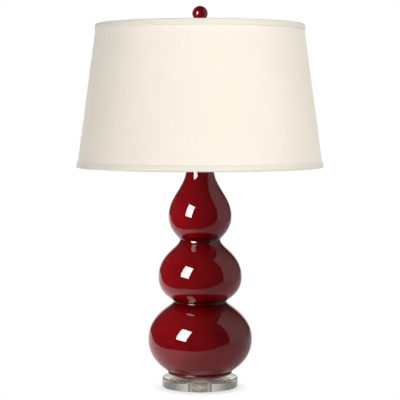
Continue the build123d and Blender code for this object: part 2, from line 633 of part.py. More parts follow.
def terminal_pair(head, extra):
    """The two terminal screws, or with no head the holes for their shanks."""
    seat = CORE_RADIUS - TERMINAL_FLAT_INSET
    radius = TERMINAL_SCREW_SHANK_RADIUS + extra
    screw = Pos(0, 0, -TERMINAL_SCREW_LENGTH) * extrude(Circle(radius), TERMINAL_SCREW_LENGTH)
    if head:
        screw += extrude(Circle(TERMINAL_SCREW_RADIUS), head)
        screw -= Pos(0, 0, head) * Box(SET_SCREW_SLOT, 2 * TERMINAL_SCREW_RADIUS, head)
    level = CORE_BOTTOM + SOCKET_CORE_HEIGHT / 4
    right = Pos(seat, 0, level) * Rot(0, 90, 0) * screw
    return [right, mirror(right, Plane.YZ)]


def terminal_screws():
    return Compound(children=terminal_pair(TERMINAL_SCREW_HEAD, 0))


def socket_screw_shell():
    outer = SCREW_SHELL_BORE_RADIUS + SCREW_SHELL_WALL
    return tube(outer, SCREW_SHELL_BORE_RADIUS, CORE_TOP, SHELL_TOP - SCREW_SHELL_TOP_GAP)


def socket_contact():
    """Bent spring strip on the core that meets the bulb's tip."""
    thick = CONTACT_STRIP_THICKNESS
    lift = CORE_TOP + CONTACT_STRIP_RISE
    outline = Polyline(
        (-CONTACT_STRIP_REACH, CORE_TOP), (-thick, CORE_TOP), (CONTACT_STRIP_WIDTH / 2, lift),
        (CONTACT_STRIP_WIDTH, lift), (CONTACT_STRIP_WIDTH, lift + thick),
        (CONTACT_STRIP_WIDTH / 2 - thick, lift + thick), (-2 * thick, CORE_TOP + thick),
        (-CONTACT_STRIP_REACH, CORE_TOP + thick), close=True,
    )
    return extrude(Plane.XZ * make_face(outline), CONTACT_STRIP_WIDTH / 2, both=True)


def switch_shaft():
    length = KNOB_INNER_END + KNOB_BORE_DEPTH - (CORE_RADIUS - SWITCH_SHAFT_INSIDE)
    shaft = Rot(90, 0, 0) * extrude(Circle(SWITCH_SHAFT_RADIUS), length)
    return Pos(0, -(CORE_RADIUS - SWITCH_SHAFT_INSIDE), SWITCH_AXIS) * shaft


def switch_knob():
    """Fluted turn knob of the switch."""
    flutes = PolarLocations(KNOB_RADIUS, KNOB_FLUTES) * Circle(KNOB_FLUTE_RADIUS)
    knob = extrude(Circle(KNOB_RADIUS) - flutes, KNOB_LENGTH)
    knob &= turned_points(
        (0, 0), (KNOB_RADIUS, 0), (KNOB_RADIUS, KNOB_LENGTH - KNOB_EDGE_ROUND),
        (KNOB_RADIUS - KNOB_EDGE_ROUND, KNOB_LENGTH), (0, KNOB_LENGTH),
    )
    knob -= extrude(Circle(SWITCH_SHAFT_RADIUS + SWITCH_SHAFT_CLEARANCE), KNOB_BORE_DEPTH)
    return Pos(0, -KNOB_INNER_END, SWITCH_AXIS) * Rot(90, 0, 0) * knob


# ---------------------------------------------------------------- light bulb
def bulb_contact():
    return Pos(0, 0, BULB_TIP) * Cone(
        BULB_CONTACT_RADIUS * 0.7, BULB_CONTACT_RADIUS, BULB_CONTACT_HEIGHT,
        align=(Align.CENTER, Align.CENTER, Align.MIN),
    )


def bulb_insulator():
    return Pos(0, 0, BULB_TIP + BULB_CONTACT_HEIGHT) * Cone(
        BULB_CONTACT_RADIUS, BULB_INSULATOR_RADIUS, BULB_INSULATOR_HEIGHT,
        align=(Align.CENTER, Align.CENTER, Align.MIN),
    )


def bulb_base():
    """Metal screw base of the bulb: a sleeve with a coned-in bottom."""
    bottom = BULB_BASE_BOTTOM
    shoulder = bottom + BULB_BASE_SHOULDER
    inside = BULB_BASE_RADIUS - BULB_BASE_WALL
    return turned_points(
        (0, bottom), (BULB_INSULATOR_RADIUS, bottom), (BULB_BASE_RADIUS, shoulder),
        (BULB_BASE_RADIUS, BULB_BASE_TOP), (inside, BULB_BASE_TOP), (inside, shoulder),
        (BULB_INSULATOR_RADIUS, bottom + BULB_BASE_WALL), (0, bottom + BULB_BASE_WALL),
    )


def bulb_envelope(inset):
    """Half section of the glass envelope, shrunk by an inset."""
    neck = BULB_NECK_RADIUS - inset
    belly = BULB_GLASS_RADIUS - inset
    bottom = BULB_BASE_TOP - BULB_NECK_INSERTION
    swell = rise_curve((neck, BULB_BASE_TOP), (belly, BULB_EQUATOR), BULB_NECK_FULLNESS)
    dome = CenterArc((0, BULB_EQUATOR), belly, 0, 90)
    return make_face([
        Line((0, bottom), (neck, bottom)), Line((neck, bottom), (neck, BULB_BASE_TOP)), swell, dome,
        Line(dome @ 1, (0, bottom)),
    ])


def bulb_glass():
    return turned(bulb_envelope(0)) - turned(bulb_envelope(BULB_GLASS_WALL))


# ---------------------------------------------------------------- harp
def harp_wire():
    """Bent wire bow with a slotted foot on each end and a flattened eye at the top."""
    shoulder = HARP_BOTTOM + HARP_LEG_LENGTH
    waist = shoulder + HARP_FLARE_RISE
    right = [
        (TONGUE_HALF_GAUGE, HARP_END_TOP),
        (TONGUE_HALF_GAUGE, shoulder),
        (HARP_HALF_WIDTH, waist),
        (HARP_HALF_WIDTH, waist + HARP_SIDE_LENGTH),
        (HARP_TOP_HALF_WIDTH, HARP_WIRE_TOP),
    ]
    left = [(-x, z) for x, z in reversed(right)]
    bends = [HARP_LEG_BEND, HARP_SIDE_BEND, HARP_SHOULDER_BEND, HARP_TOP_BEND]
    path = FilletPolyline(*right, *left, radius=bends + bends[::-1])
    path = Plane.XZ * path
    wire = sweep(Plane(origin=path @ 0, z_dir=path % 0) * Circle(HARP_WIRE_RADIUS), path=path)
    foot = harp_foot()
    eye = extrude(SlotOverall(HARP_EYE_LENGTH, HARP_EYE_WIDTH), HARP_EYE_THICKNESS)
    wire += [foot, mirror(foot, Plane.YZ), Pos(0, 0, EYE_BOTTOM) * eye]
    shank = extrude(Circle(STUD_SHANK_RADIUS + FINIAL_BORE_CLEARANCE / 3), HARP_EYE_THICKNESS)
    return wire - Pos(0, 0, EYE_BOTTOM) * shank


def harp_foot():
    """Round foot of a harp leg, slotted to straddle the saddle's tongue."""
    foot = Pos(0, 0, HARP_BOTTOM) * extrude(Circle(HARP_END_RADIUS), HARP_END_TOP - HARP_BOTTOM)
    slot = Pos(0, 0, HARP_BOTTOM) * Box(
        SADDLE_THICKNESS + 2 * HARP_SLOT_CLEARANCE, 3 * HARP_END_RADIUS, TONGUE_TOP - HARP_BOTTOM,
        align=(Align.CENTER, Align.CENTER, Align.MIN),
    )
    return Pos(TONGUE_HALF_GAUGE, 0, 0) * (foot - slot)


def harp_ferrule(side):
    """Sliding sleeve that locks a harp foot on its tongue, beaded at both ends."""
    bore = HARP_END_RADIUS + FERRULE_CLEARANCE
    top = TONGUE_BOTTOM + FERRULE_LENGTH
    sleeve = tube(FERRULE_RADIUS - FERRULE_BEAD, bore, TONGUE_BOTTOM, top)
    sleeve += tube(FERRULE_RADIUS, bore, TONGUE_BOTTOM, TONGUE_BOTTOM + FERRULE_BEAD_WIDTH)
    sleeve += tube(FERRULE_RADIUS, bore, top - FERRULE_BEAD_WIDTH, top)
    return Pos(side * TONGUE_HALF_GAUGE, 0, 0) * sleeve


def harp_stud():
    """Threaded stud riveted through the eye, with the collar that carries the shade."""
    rivet_bottom = EYE_BOTTOM - STUD_RIVET_THICKNESS
    return turned_points(
        (0, rivet_bottom), (STUD_RIVET_RADIUS, rivet_bottom), (STUD_RIVET_RADIUS, EYE_BOTTOM),
        (STUD_SHANK_RADIUS, EYE_BOTTOM), (STUD_SHANK_RADIUS, EYE_TOP), (STUD_COLLAR_RADIUS, EYE_TOP),
        (STUD_COLLAR_RADIUS, HARP_TOP), (STUD_RADIUS, HARP_TOP), (STUD_RADIUS, STUD_TOP),
        (0, STUD_TOP),
    )


# ---------------------------------------------------------------- shade
def cone_radius(height):
    """Outside radius of the shade's fabric at a height."""
    share = (height - SHADE_BASE) / SHADE_HEIGHT
    return SHADE_BOTTOM_RADIUS + share * (SHADE_TOP_RADIUS - SHADE_BOTTOM_RADIUS)


def cone_skin(inset, thickness, bottom, top):
    """A turned skin that lies a given inset inside the shade's outside face."""
    return turned_points(
        (cone_radius(bottom) - inset, bottom), (cone_radius(top) - inset, top),
        (cone_radius(top) - inset - thickness, top), (cone_radius(bottom) - inset - thickness, bottom),
    )


def shade_cover():
    return cone_skin(0, SHADE_FABRIC_THICKNESS, FABRIC_BOTTOM, FABRIC_TOP)


def shade_lining():
    return cone_skin(LINING_OFFSET, SHADE_LINING_THICKNESS, FABRIC_BOTTOM, FABRIC_TOP)


def shade_trim(edge, fold, outer_end, inner_end):
    """Folded trim strip round one edge of the shade; the fold is next to the wire ring."""
    outside = -SHADE_GLUE_GAP - TRIM_THICKNESS
    inside = RING_OFFSET + RING_WIRE_RADIUS + TRIM_CLEARANCE
    return turned_points(
        (cone_radius(edge) - outside, edge),
        (cone_radius(outer_end) - outside, outer_end),
        (cone_radius(outer_end) + SHADE_GLUE_GAP, outer_end),
        (cone_radius(fold) + SHADE_GLUE_GAP, fold),
        (cone_radius(fold) - inside, fold),
        (cone_radius(inner_end) - inside, inner_end),
        (cone_radius(inner_end) - inside - TRIM_THICKNESS, inner_end),
        (cone_radius(edge) - inside - TRIM_THICKNESS, edge),
    )


def shade_top_trim():
    return shade_trim(SHADE_RIM, FABRIC_TOP, SHADE_RIM - TRIM_OUTER_WIDTH, FABRIC_TOP - TRIM_INNER_WIDTH)


def shade_bottom_trim():
    return shade_trim(
        SHADE_BASE, FABRIC_BOTTOM, SHADE_BASE + TRIM_OUTER_WIDTH, FABRIC_BOTTOM + TRIM_INNER_WIDTH)


def shade_ring(level):
    """Wire ring that stiffens one edge of the shade."""
    return Pos(0, 0, level) * Torus(cone_radius(level) - RING_OFFSET, RING_WIRE_RADIUS)


def spider_arm_solid(radius, start):
    """One spider arm along +X: straight out from the hub, then up to the top ring."""
    ring = cone_radius(TOP_RING_LEVEL) - RING_OFFSET
    path = Plane.XZ * FilletPolyline(
        (start, ARM_LEVEL), (ring, ARM_LEVEL), (ring, TOP_RING_LEVEL - RING_WIRE_RADIUS),
        radius=SPIDER_ARM_BEND,
    )
    return sweep(Plane(origin=path @ 0, z_dir=path % 0) * Circle(radius), path=path)


def spider_arm(index):
    return Rot(0, 0, spider_angle(index)) * spider_arm_solid(SPIDER_ARM_RADIUS, SPIDER_ARM_START)


def spider_angle(index):
    """Bearing of a spider arm; the first one points straight back."""
    return 90 + index * 360 / SPIDER_ARM_COUNT


def spider_hub():
    """Drilled ring that drops over the harp's stud and holds the arms."""
    hub = tube(SPIDER_HUB_RADIUS, SPIDER_HUB_BORE_RADIUS, HARP_TOP, HUB_TOP)
    rims = hub.edges().filter_by(GeomType.CIRCLE).group_by(SortBy.RADIUS)[-1]
    hub = fillet(rims, SPIDER_HUB_EDGE_ROUND)
    hole = Pos(SPIDER_ARM_START, 0, ARM_LEVEL) * Rot(0, 90, 0) * extrude(
        Circle(SPIDER_ARM_RADIUS + SPIDER_HOLE_CLEARANCE), SPIDER_HUB_RADIUS)
    return hub - [Rot(0, 0, spider_angle(index)) * hole for index in range(SPIDER_ARM_COUNT)]


# ---------------------------------------------------------------- finial
def finial_washer():
    return tube(FINIAL_WASHER_RADIUS, FINIAL_BORE_RADIUS, HUB_TOP, WASHER_TOP)


def finial_base():
    """Turned brass base: a foot, a waist and a cup, with a stem up into the ball."""
    foot_top = WASHER_TOP + FINIAL_FOOT_HEIGHT
    cup_bottom = FINIAL_BASE_TOP - FINIAL_CUP_HEIGHT
    bore_top = STUD_TOP + FINIAL_BORE_ABOVE_STUD
    stem_top = FINIAL_BASE_TOP + FINIAL_STEM_LENGTH
    neck = Spline(
        (FINIAL_FOOT_RADIUS, foot_top), (FINIAL_WAIST_RADIUS, (foot_top + cup_bottom) / 2),
        (FINIAL_CUP_RADIUS, cup_bottom),
    )
    rest = Polyline(
        (FINIAL_CUP_RADIUS, cup_bottom), (FINIAL_CUP_RADIUS, FINIAL_BASE_TOP),
        (FINIAL_STEM_RADIUS, FINIAL_BASE_TOP), (FINIAL_STEM_RADIUS, stem_top), (0, stem_top),
        (0, bore_top), (FINIAL_BORE_RADIUS, bore_top), (FINIAL_BORE_RADIUS, WASHER_TOP),
        (FINIAL_FOOT_RADIUS, WASHER_TOP), (FINIAL_FOOT_RADIUS, foot_top),
    )
    return turned(make_face([neck, *rest.edges()]))


def finial_ball():
    """Glazed ball with a flat and a hole below for the stem."""
    ball = Pos(0, 0, BALL_CENTRE) * Sphere(FINIAL_BALL_RADIUS)
    bore = FINIAL_STEM_LENGTH + FINIAL_STEM_CLEARANCE
    below = Pos(0, 0, FINIAL_BASE_TOP) * extrude(Circle(FINIAL_BALL_RADIUS), -FINIAL_BALL_RADIUS)
    hole = Pos(0, 0, FINIAL_BASE_TOP) * extrude(Circle(FINIAL_STEM_RADIUS + FINIAL_STEM_CLEARANCE), bore)
    return ball - below - hole


# ---------------------------------------------------------------- parts list
def all_parts():
    """Every part of the lamp by its name."""
    parts = {
        "bumper_feet": bumper_feet(),
        "acrylic_base": clear_base(),
        "base_washer": base_washer(),
        "base_lock_washer": base_lock_washer(),
        "base_nut": base_nut(),
        "lamp_pipe": threaded_pipe(),
        "gourd_body": gourd_body(),
        "cord_bushing": cord_bushing(),
        "neck_cap": neck_cap(),
        "neck_lock_nut": neck_lock_nut(),
        "harp_saddle": harp_saddle(),
        "socket_cap": socket_cap(),
        "socket_set_screw": socket_set_screw(),
        "socket_shell": socket_shell(),
        "socket_insulator": socket_insulator(),
        "socket_interior": socket_interior(),
        "socket_screw_shell": socket_screw_shell(),
        "socket_contact": socket_contact(),
        "terminal_screws": terminal_screws(),
        "switch_shaft": switch_shaft(),
        "switch_knob": switch_knob(),
        "bulb_contact": bulb_contact(),
        "bulb_insulator": bulb_insulator(),
        "bulb_base": bulb_base(),
        "bulb_glass": bulb_glass(),
        "harp_wire": harp_wire(),
        "harp_stud": harp_stud(),
        "harp_ferrule_left": harp_ferrule(-1),
        "harp_ferrule_right": harp_ferrule(1),
        "shade_cover": shade_cover(),
        "shade_lining": shade_lining(),
        "shade_top_trim": shade_top_trim(),
        "shade_bottom_trim": shade_bottom_trim(),
        "shade_top_ring": shade_ring(TOP_RING_LEVEL),
        "shade_bottom_ring": shade_ring(BOTTOM_RING_LEVEL),
        "spider_hub": spider_hub(),
        "finial_washer": finial_washer(),
        "finial_base": finial_base(),
        "finial_ball": finial_ball(),
    }
    for index in range(SPIDER_ARM_COUNT):
        parts[f"spider_arm_{index + 1}"] = spider_arm(index)
    return parts


if __name__ == "__main__":
    os.makedirs("parts", exist_ok=True)
    for name, shape in all_parts().items():
        export_step(shape, f"parts/{name}.step")
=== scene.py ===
"""Looks of a table lamp.

A red glazed gourd with three bellies stands on a clear disc and carries a drum shade on a
harp. Lengths are in metres, +Z is up and the front is -Y.
"""

import json
import logging
from collections.abc import Callable
from dataclasses import dataclass
from enum import Enum
from functools import cache
from math import acos, atan2, cos, hypot, pi, radians, sin, sqrt

import bmesh
import bpy
from bmesh.types import BMesh, BMFace, BMVert
from bpy.types import Collection, Material, Mesh, Node, NodeSocket, NodeTree, Object
from mathutils import Matrix, Vector
from mathutils.geometry import interpolate_bezier


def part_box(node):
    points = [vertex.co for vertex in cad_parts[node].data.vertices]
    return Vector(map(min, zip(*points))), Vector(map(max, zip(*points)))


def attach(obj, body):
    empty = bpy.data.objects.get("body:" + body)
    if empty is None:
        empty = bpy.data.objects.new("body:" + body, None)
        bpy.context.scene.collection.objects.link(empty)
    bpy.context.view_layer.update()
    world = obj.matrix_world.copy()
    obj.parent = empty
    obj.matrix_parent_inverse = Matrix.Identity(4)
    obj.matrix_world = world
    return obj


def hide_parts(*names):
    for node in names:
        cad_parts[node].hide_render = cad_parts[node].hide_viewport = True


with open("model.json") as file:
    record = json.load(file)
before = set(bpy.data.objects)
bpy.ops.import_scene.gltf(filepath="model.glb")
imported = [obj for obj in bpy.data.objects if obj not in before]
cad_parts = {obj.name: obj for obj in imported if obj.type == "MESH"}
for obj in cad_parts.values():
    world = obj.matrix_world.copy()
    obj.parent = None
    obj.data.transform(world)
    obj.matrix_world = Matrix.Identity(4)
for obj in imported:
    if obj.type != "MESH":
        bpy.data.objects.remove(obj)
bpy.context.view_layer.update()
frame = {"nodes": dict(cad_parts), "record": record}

LOG = logging.getLogger("table_lamp")

Color = tuple[float, float, float]
Point = tuple[float, float]  # a radius and a height, or a place laid out flat
Fade = tuple[float, float, float, float]  # where it starts and ends, and its value there
Value = float | tuple | NodeSocket
Sockets = bpy.types.bpy_prop_collection

WHITE = (1.0, 1.0, 1.0)
ROUND_HANDLE = 0.5523
MERGE_DISTANCE = 1e-6
SHARP_ANGLE = radians(32)
THREAD_MAP = "threads"
NOISE_LOW, NOISE_HIGH = 0.3, 0.7  # where most of a noise lies


# ---------------------------------------------------------------- shaping helpers
class Outline:
    """A half section drawn stretch by stretch: x is the radius and z the height."""

    def __init__(self, *points: Point) -> None:
        """Starts the outline with a line through one or more points."""
        self.points = [Vector((radius, 0.0, height)) for radius, height in points]

    def line(self, *points: Point) -> None:
        """Adds straight stretches through points."""
        self.points += [Vector((radius, 0.0, height)) for radius, height in points]

    def curve(self, leave: Point, arrive: Point, end: Point, steps: int) -> None:
        """Adds a Bezier stretch.

        Args:
            leave: handle of the start.
            arrive: handle of the end.
            end: where the stretch ends.
            steps: number of short lines that it is made of.
        """
        knots = [Vector((radius, 0.0, height)) for radius, height in (leave, arrive, end)]
        self.points += interpolate_bezier(self.points[-1], *knots, steps + 1)[1:]

    def quarter(self, radius: float, height: float, upright_first: bool, steps: int = 4) -> None:
        """Adds a quarter round.

        Args:
            radius: radius of its end.
            height: height of its end.
            upright_first: whether it leaves upright and ends level, or the other way round.
            steps: number of short lines that it is made of.
        """
        start = self.points[-1]
        rise, run = height - start.z, radius - start.x
        if upright_first:
            leave = (start.x, start.z + ROUND_HANDLE * rise)
            arrive = (radius - ROUND_HANDLE * run, height)
        else:
            leave = (start.x + ROUND_HANDLE * run, start.z)
            arrive = (radius, height - ROUND_HANDLE * rise)
        self.curve(leave, arrive, (radius, height), steps)

    def length(self) -> float:
        """Returns how long the outline is so far."""
        return sum((end - start).length for start, end in zip(self.points, self.points[1:]))


def turned(outline: Outline, segments: int, closed: bool = True) -> BMesh:
    """Spins an outline about the lamp's axis.

    Args:
        outline: the half section.
        segments: number of steps in the full turn.
        closed: whether the outline's end joins its start.

    Returns:
        A mesh with merged seams and poles and with its normals outwards.
    """
    mesh = bmesh.new()
    corners = [mesh.verts.new(point) for point in outline.points]
    edges = [mesh.edges.new(pair) for pair in zip(corners, corners[1:])]
    if closed:
        edges.append(mesh.edges.new((corners[-1], corners[0])))
    bmesh.ops.spin(
        mesh, geom=corners + edges, cent=(0, 0, 0), axis=(0, 0, 1), dvec=(0, 0, 0),
        angle=2 * pi, steps=segments, use_merge=True)
    bmesh.ops.remove_doubles(mesh, verts=mesh.verts, dist=MERGE_DISTANCE)
    bmesh.ops.recalc_face_normals(mesh, faces=mesh.faces)
    return mesh


def soften(mesh: BMesh, width: float, angle: float = radians(30)) -> None:
    """Bevels the sharp edges of a mesh.

    Args:
        mesh: the mesh.
        width: how wide the bevel is.
        angle: the angle past which an edge counts as sharp.
    """
    sharp = [e for e in mesh.edges if e.is_manifold and e.calc_face_angle() > angle]
    bmesh.ops.bevel(
        mesh, geom=sharp, offset=width, offset_type="OFFSET", segments=2, profile=0.5,
        affect="EDGES", clamp_overlap=True, material=-1)


def join_into(mesh: BMesh, other: BMesh) -> None:
    """Adds one mesh to another.

    Args:
        mesh: the mesh that grows.
        other: the mesh that is added and then freed.
    """
    carrier = bpy.data.meshes.new("carrier")
    other.to_mesh(carrier)
    other.free()
    mesh.from_mesh(carrier)
    bpy.data.meshes.remove(carrier)


def piece_from(mesh: BMesh, name: str, crease: float = SHARP_ANGLE) -> Object:
    """Makes a smooth-shaded object of a mesh and frees the mesh.

    Args:
        mesh: the finished mesh, in place.
        name: the piece's name.
        crease: the angle past which an edge stays sharp.

    Returns:
        The new object, linked to the scene.
    """
    data = bpy.data.meshes.new(name)
    mesh.to_mesh(data)
    mesh.free()
    data.shade_smooth()
    data.set_sharp_from_angle(angle=crease)
    piece = bpy.data.objects.new(name, data)
    bpy.context.scene.collection.objects.link(piece)
    return piece


def cut_away(piece: Object, cutter: Object) -> None:
    """Takes a shape out of a piece, for good.

    Args:
        piece: the piece that is cut.
        cutter: the shape, which is removed afterwards.
    """
    boolean = piece.modifiers.new("cut", "BOOLEAN")
    boolean.object = cutter
    boolean.solver = "EXACT"
    graph = bpy.context.evaluated_depsgraph_get()
    result = bpy.data.meshes.new_from_object(piece.evaluated_get(graph))
    piece.modifiers.clear()
    piece.data = result
    result.shade_smooth()
    result.set_sharp_from_angle(angle=SHARP_ANGLE)
    bpy.data.objects.remove(cutter)


def seat(piece: Object, finish: "Finishes", body: str, node: str) -> None:
    """Dresses a piece, puts it on a body and hides the CAD node that it stands in for.

    Args:
        piece: the piece, in place.
        finish: what it is finished in.
        body: name of the body that it rides on.
        node: name of the node that it replaces.
    """
    piece.data.materials.clear()
    piece.data.materials.append(finish.material())
    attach(piece, body)
    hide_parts(node)
    LOG.info("made %s, on %s", piece.name, body)


def carry_over(finish: "Finishes", *nodes: str) -> None:
    """Gives a finish to CAD nodes that stay.

    Args:
        finish: what they are finished in.
        *nodes: their names.
    """
    for name in nodes:
        for place in frame["nodes"][name].material_slots:
            place.material = finish.material()
        LOG.info("dressed %s", name)


# ---------------------------------------------------------------- shader helpers
class NodeSheet:
    """A node tree with short ways to add nodes and join them."""

    def __init__(self, tree: NodeTree) -> None:
        """Wraps a node tree."""
        self.tree = tree

    def node(self, kind: str, inputs: dict[str | int, Value] | None = None,
             **settings: object) -> Node:
        """Adds a node.

        Args:
            kind: type of the node.
            inputs: sockets or constants for its inputs, by name or number.
            **settings: the node's own properties.

        Returns:
            The new node.
        """
        made = self.tree.nodes.new(kind)
        for name, value in settings.items():
            setattr(made, name, value)
        for key, value in (inputs or {}).items():
            self.plug(made.inputs[key], value)
        return made

    def plug(self, socket: NodeSocket, value: Value) -> None:
        """Fills an input.

        Args:
            socket: the input.
            value: a socket to link to it, or a constant to set it to.
        """
        if isinstance(value, NodeSocket):
            self.tree.links.new(value, socket)
        elif isinstance(value, tuple) and len(value) == 3 and socket.type == "RGBA":
            socket.default_value = (*value, 1.0)
        else:
            socket.default_value = value

    def math(self, operation: str, *values: Value, clamp: bool = False) -> NodeSocket:
        """Adds a Math node and returns its result."""
        inputs = dict(enumerate(values))
        return self.node("ShaderNodeMath", inputs, operation=operation, use_clamp=clamp).outputs[0]

    def ramp(self, value: Value, start: float, end: float, low: Value, high: Value) -> NodeSocket:
        """Eases a value.

        Args:
            value: what is eased.
            start: where the change starts.
            end: where the change ends.
            low: the result at the start and before it.
            high: the result at the end and past it.

        Returns:
            The eased value.
        """
        inputs = {"Value": value, "From Min": start, "From Max": end, "To Min": low, "To Max": high}
        return self.node("ShaderNodeMapRange", inputs, interpolation_type="SMOOTHSTEP").outputs[0]

    def blend(self, share: Value, first: Value, second: Value) -> NodeSocket:
        """Mixes two colours by a share of the second and returns the colour."""
        inputs = {"Factor": share, "A": first, "B": second}
        return self.node("ShaderNodeMix", inputs, data_type="RGBA").outputs["Result"]

    def split(self, vector: Value) -> Sockets:
        """Returns the X, Y and Z of a vector."""
        return self.node("ShaderNodeSeparateXYZ", {0: vector}).outputs

    def from_axis(self, parts: Sockets) -> NodeSocket:
        """Returns the length of an X and Y together: a place's distance from the lamp's axis."""
        squares = [self.math("MULTIPLY", parts[axis], parts[axis]) for axis in "XY"]
        return self.math("SQRT", self.math("ADD", *squares))

    def noise(self, vector: Value, scale: Value, detail: float, roughness: float = 0.5,
              dimensions: str = "3D") -> NodeSocket:
        """Adds cloudy noise.

        Args:
            vector: where it is looked up.
            scale: how fine it is.
            detail: how many finer layers it has.
            roughness: how strong the finer layers are.
            dimensions: 2D or 3D.

        Returns:
            The noise, from 0 to 1.
        """
        inputs = {"Vector": vector, "Scale": scale, "Detail": detail, "Roughness": roughness}
        return self.node("ShaderNodeTexNoise", inputs, noise_dimensions=dimensions).outputs[0]

    def glow(self, color: Color, strength: Value) -> NodeSocket:
        """Returns a shader that shines by itself."""
        return self.node("ShaderNodeEmission", {"Color": color, "Strength": strength}).outputs[0]

    def group(self, tree: NodeTree, **inputs: Value) -> Node:
        """Places a shared effect with its own values; an underscore stands for a space."""
        values = {name.replace("_", " "): value for name, value in inputs.items()}
        return self.node("ShaderNodeGroup", values, node_tree=tree)


class MaterialSheet(NodeSheet):
    """A material's nodes, with its Principled shader at hand."""

    def __init__(self, name: str) -> None:
        """Makes the material.

        Args:
            name: the material's name.
        """
        self.material = bpy.data.materials.new(name)
        self.material.use_nodes = True
        super().__init__(self.material.node_tree)
        self.shader = self.tree.nodes["Principled BSDF"]
        self.place = self.node("ShaderNodeTexCoord").outputs["Object"]

    def feed(self, **inputs: Value) -> None:
        """Sets or links the shader's inputs; an underscore stands for a space."""
        for name, value in inputs.items():
            self.plug(self.shader.inputs[name.replace("_", " ")], value)

    def bump(self, height: NodeSocket, depth: float) -> None:
        """Feeds a height, whose full range is depth metres, to the shader's normal."""
        made = self.node("ShaderNodeBump", {"Height": height, "Distance": depth, "Strength": 1.0})
        self.feed(Normal=made.outputs["Normal"])

    def surface(self, shader: NodeSocket) -> Material:
        """Shows another shader in place of the Principled one and returns the material."""
        self.plug(self.tree.nodes["Material Output"].inputs["Surface"], shader)
        return self.material

    def patches(self, scale: float, low: Color, high: Color) -> Sockets:
        """Places soft patches of two colours and returns their colour and mask."""
        return self.group(mottle(), Vector=self.place, Scale=scale, Low=low, High=high).outputs

    def grain(self, scale: float) -> NodeSocket:
        """Places a fine uneven height and returns it."""
        return self.group(fine_grain(), Vector=self.place, Scale=scale).outputs["Height"]


FLOAT, COLOR, VECTOR = "NodeSocketFloat", "NodeSocketColor", "NodeSocketVector"


def new_group(name: str, inputs: dict[str, str], outputs: dict[str, str]) -> tuple:
    """Starts a shared effect.

    Args:
        name: name of the group.
        inputs: type of each input socket, by its name.
        outputs: type of each output socket, by its name.

    Returns:
        The tree, its sheet, the sockets that it is given and the sockets that it fills.
    """
    tree = bpy.data.node_groups.new(name, "ShaderNodeTree")
    for direction, sockets in (("INPUT", inputs), ("OUTPUT", outputs)):
        for socket, kind in sockets.items():
            tree.interface.new_socket(socket, in_out=direction, socket_type=kind)
    sheet = NodeSheet(tree)
    return tree, sheet, sheet.node("NodeGroupInput").outputs, sheet.node("NodeGroupOutput").inputs


@cache
def mottle() -> NodeTree:
    """Shared effect: soft patches of a lower and a higher colour.

    Returns:
        The node group.
    """
    tree, sheet, given, result = new_group(
        "mottle", {"Vector": VECTOR, "Scale": FLOAT, "Low": COLOR, "High": COLOR},
        {"Color": COLOR, "Mask": FLOAT})
    noise = sheet.noise(given["Vector"], given["Scale"], detail=3.0)
    mask = sheet.ramp(noise, start=0.32, end=0.68, low=0.0, high=1.0)
    sheet.plug(result["Mask"], mask)
    sheet.plug(result["Color"], sheet.blend(mask, given["Low"], given["High"]))
    return tree


@cache
def fine_grain() -> NodeTree:
    """Shared effect: fine uneven height, as of orange peel, fibre or a moulded skin.

    Returns:
        The node group.
    """
    tree, sheet, given, result = new_group(
        "fine_grain", {"Vector": VECTOR, "Scale": FLOAT}, {"Height": FLOAT})
    noise = sheet.noise(given["Vector"], given["Scale"], detail=4.0, roughness=0.55)
    sheet.plug(result["Height"], noise)
    return tree


@cache
def height_band() -> NodeTree:
    """Shared effect: a mask that is 1 at a height and eases to 0 a half width above and below.

    Returns:
        The node group.
    """
    tree, sheet, given, result = new_group(
        "height_band", {"Vector": VECTOR, "Centre": FLOAT, "Half Width": FLOAT}, {"Mask": FLOAT})
    height = sheet.split(given["Vector"])["Z"]
    distance = sheet.math("ABSOLUTE", sheet.math("SUBTRACT", height, given["Centre"]))
    share = sheet.math("DIVIDE", distance, given["Half Width"])
    sheet.plug(result["Mask"], sheet.ramp(share, 0.0, 1.0, 1.0, 0.0))
    return tree


@cache
def turning_marks() -> NodeTree:
    """Shared effect: fine rings round the lamp's axis, as a lathe or a spinning tool leaves.

    Returns:
        The node group.
    """
    tree, sheet, given, result = new_group(
        "turning_marks", {"Vector": VECTOR, "Scale": FLOAT}, {"Height": FLOAT})
    parts = sheet.split(given["Vector"])
    section = sheet.node("ShaderNodeCombineXYZ", {0: sheet.from_axis(parts), 1: parts["Z"]})
    noise = sheet.noise(section.outputs[0], given["Scale"], detail=2.0, dimensions="2D")
    sheet.plug(result["Height"], noise)
    return tree


@cache
def plain_weave() -> NodeTree:
    """Shared effect: threads that pass over and under each other, with thick slubs here and there.

    Returns:
        The node group.
    """
    tree, sheet, given, result = new_group(
        "plain_weave", {"Vector": VECTOR, "Pitch": FLOAT}, {"Height": FLOAT, "Slubs": FLOAT})
    parts = sheet.split(given["Vector"])
    waves = []
    for axis in "XY":
        turn = sheet.math("MULTIPLY", sheet.math("DIVIDE", parts[axis], given["Pitch"]), pi)
        waves.append(sheet.math("COSINE", turn))
    slubs = []
    along, across = 30.0, 900.0  # how fine the slubs are along a thread and across it
    for stretch in ((along, across, 1.0), (across, along, 1.0)):
        drawn = sheet.node(
            "ShaderNodeVectorMath", {0: given["Vector"], 1: stretch}, operation="MULTIPLY")
        noise = sheet.noise(drawn.outputs[0], 1.0, detail=2.0)
        slubs.append(sheet.ramp(noise, start=0.35, end=0.75, low=0.0, high=1.0))
    thread_share, slub_share = 0.35, 0.5
    over = sheet.math("MULTIPLY", sheet.math("MULTIPLY", *waves), thread_share)
    thick = sheet.math("MULTIPLY", sheet.math("ADD", *slubs), slub_share)
    sheet.plug(result["Height"], sheet.math("ADD", over, thick))
    sheet.plug(result["Slubs"], thick)
    return tree


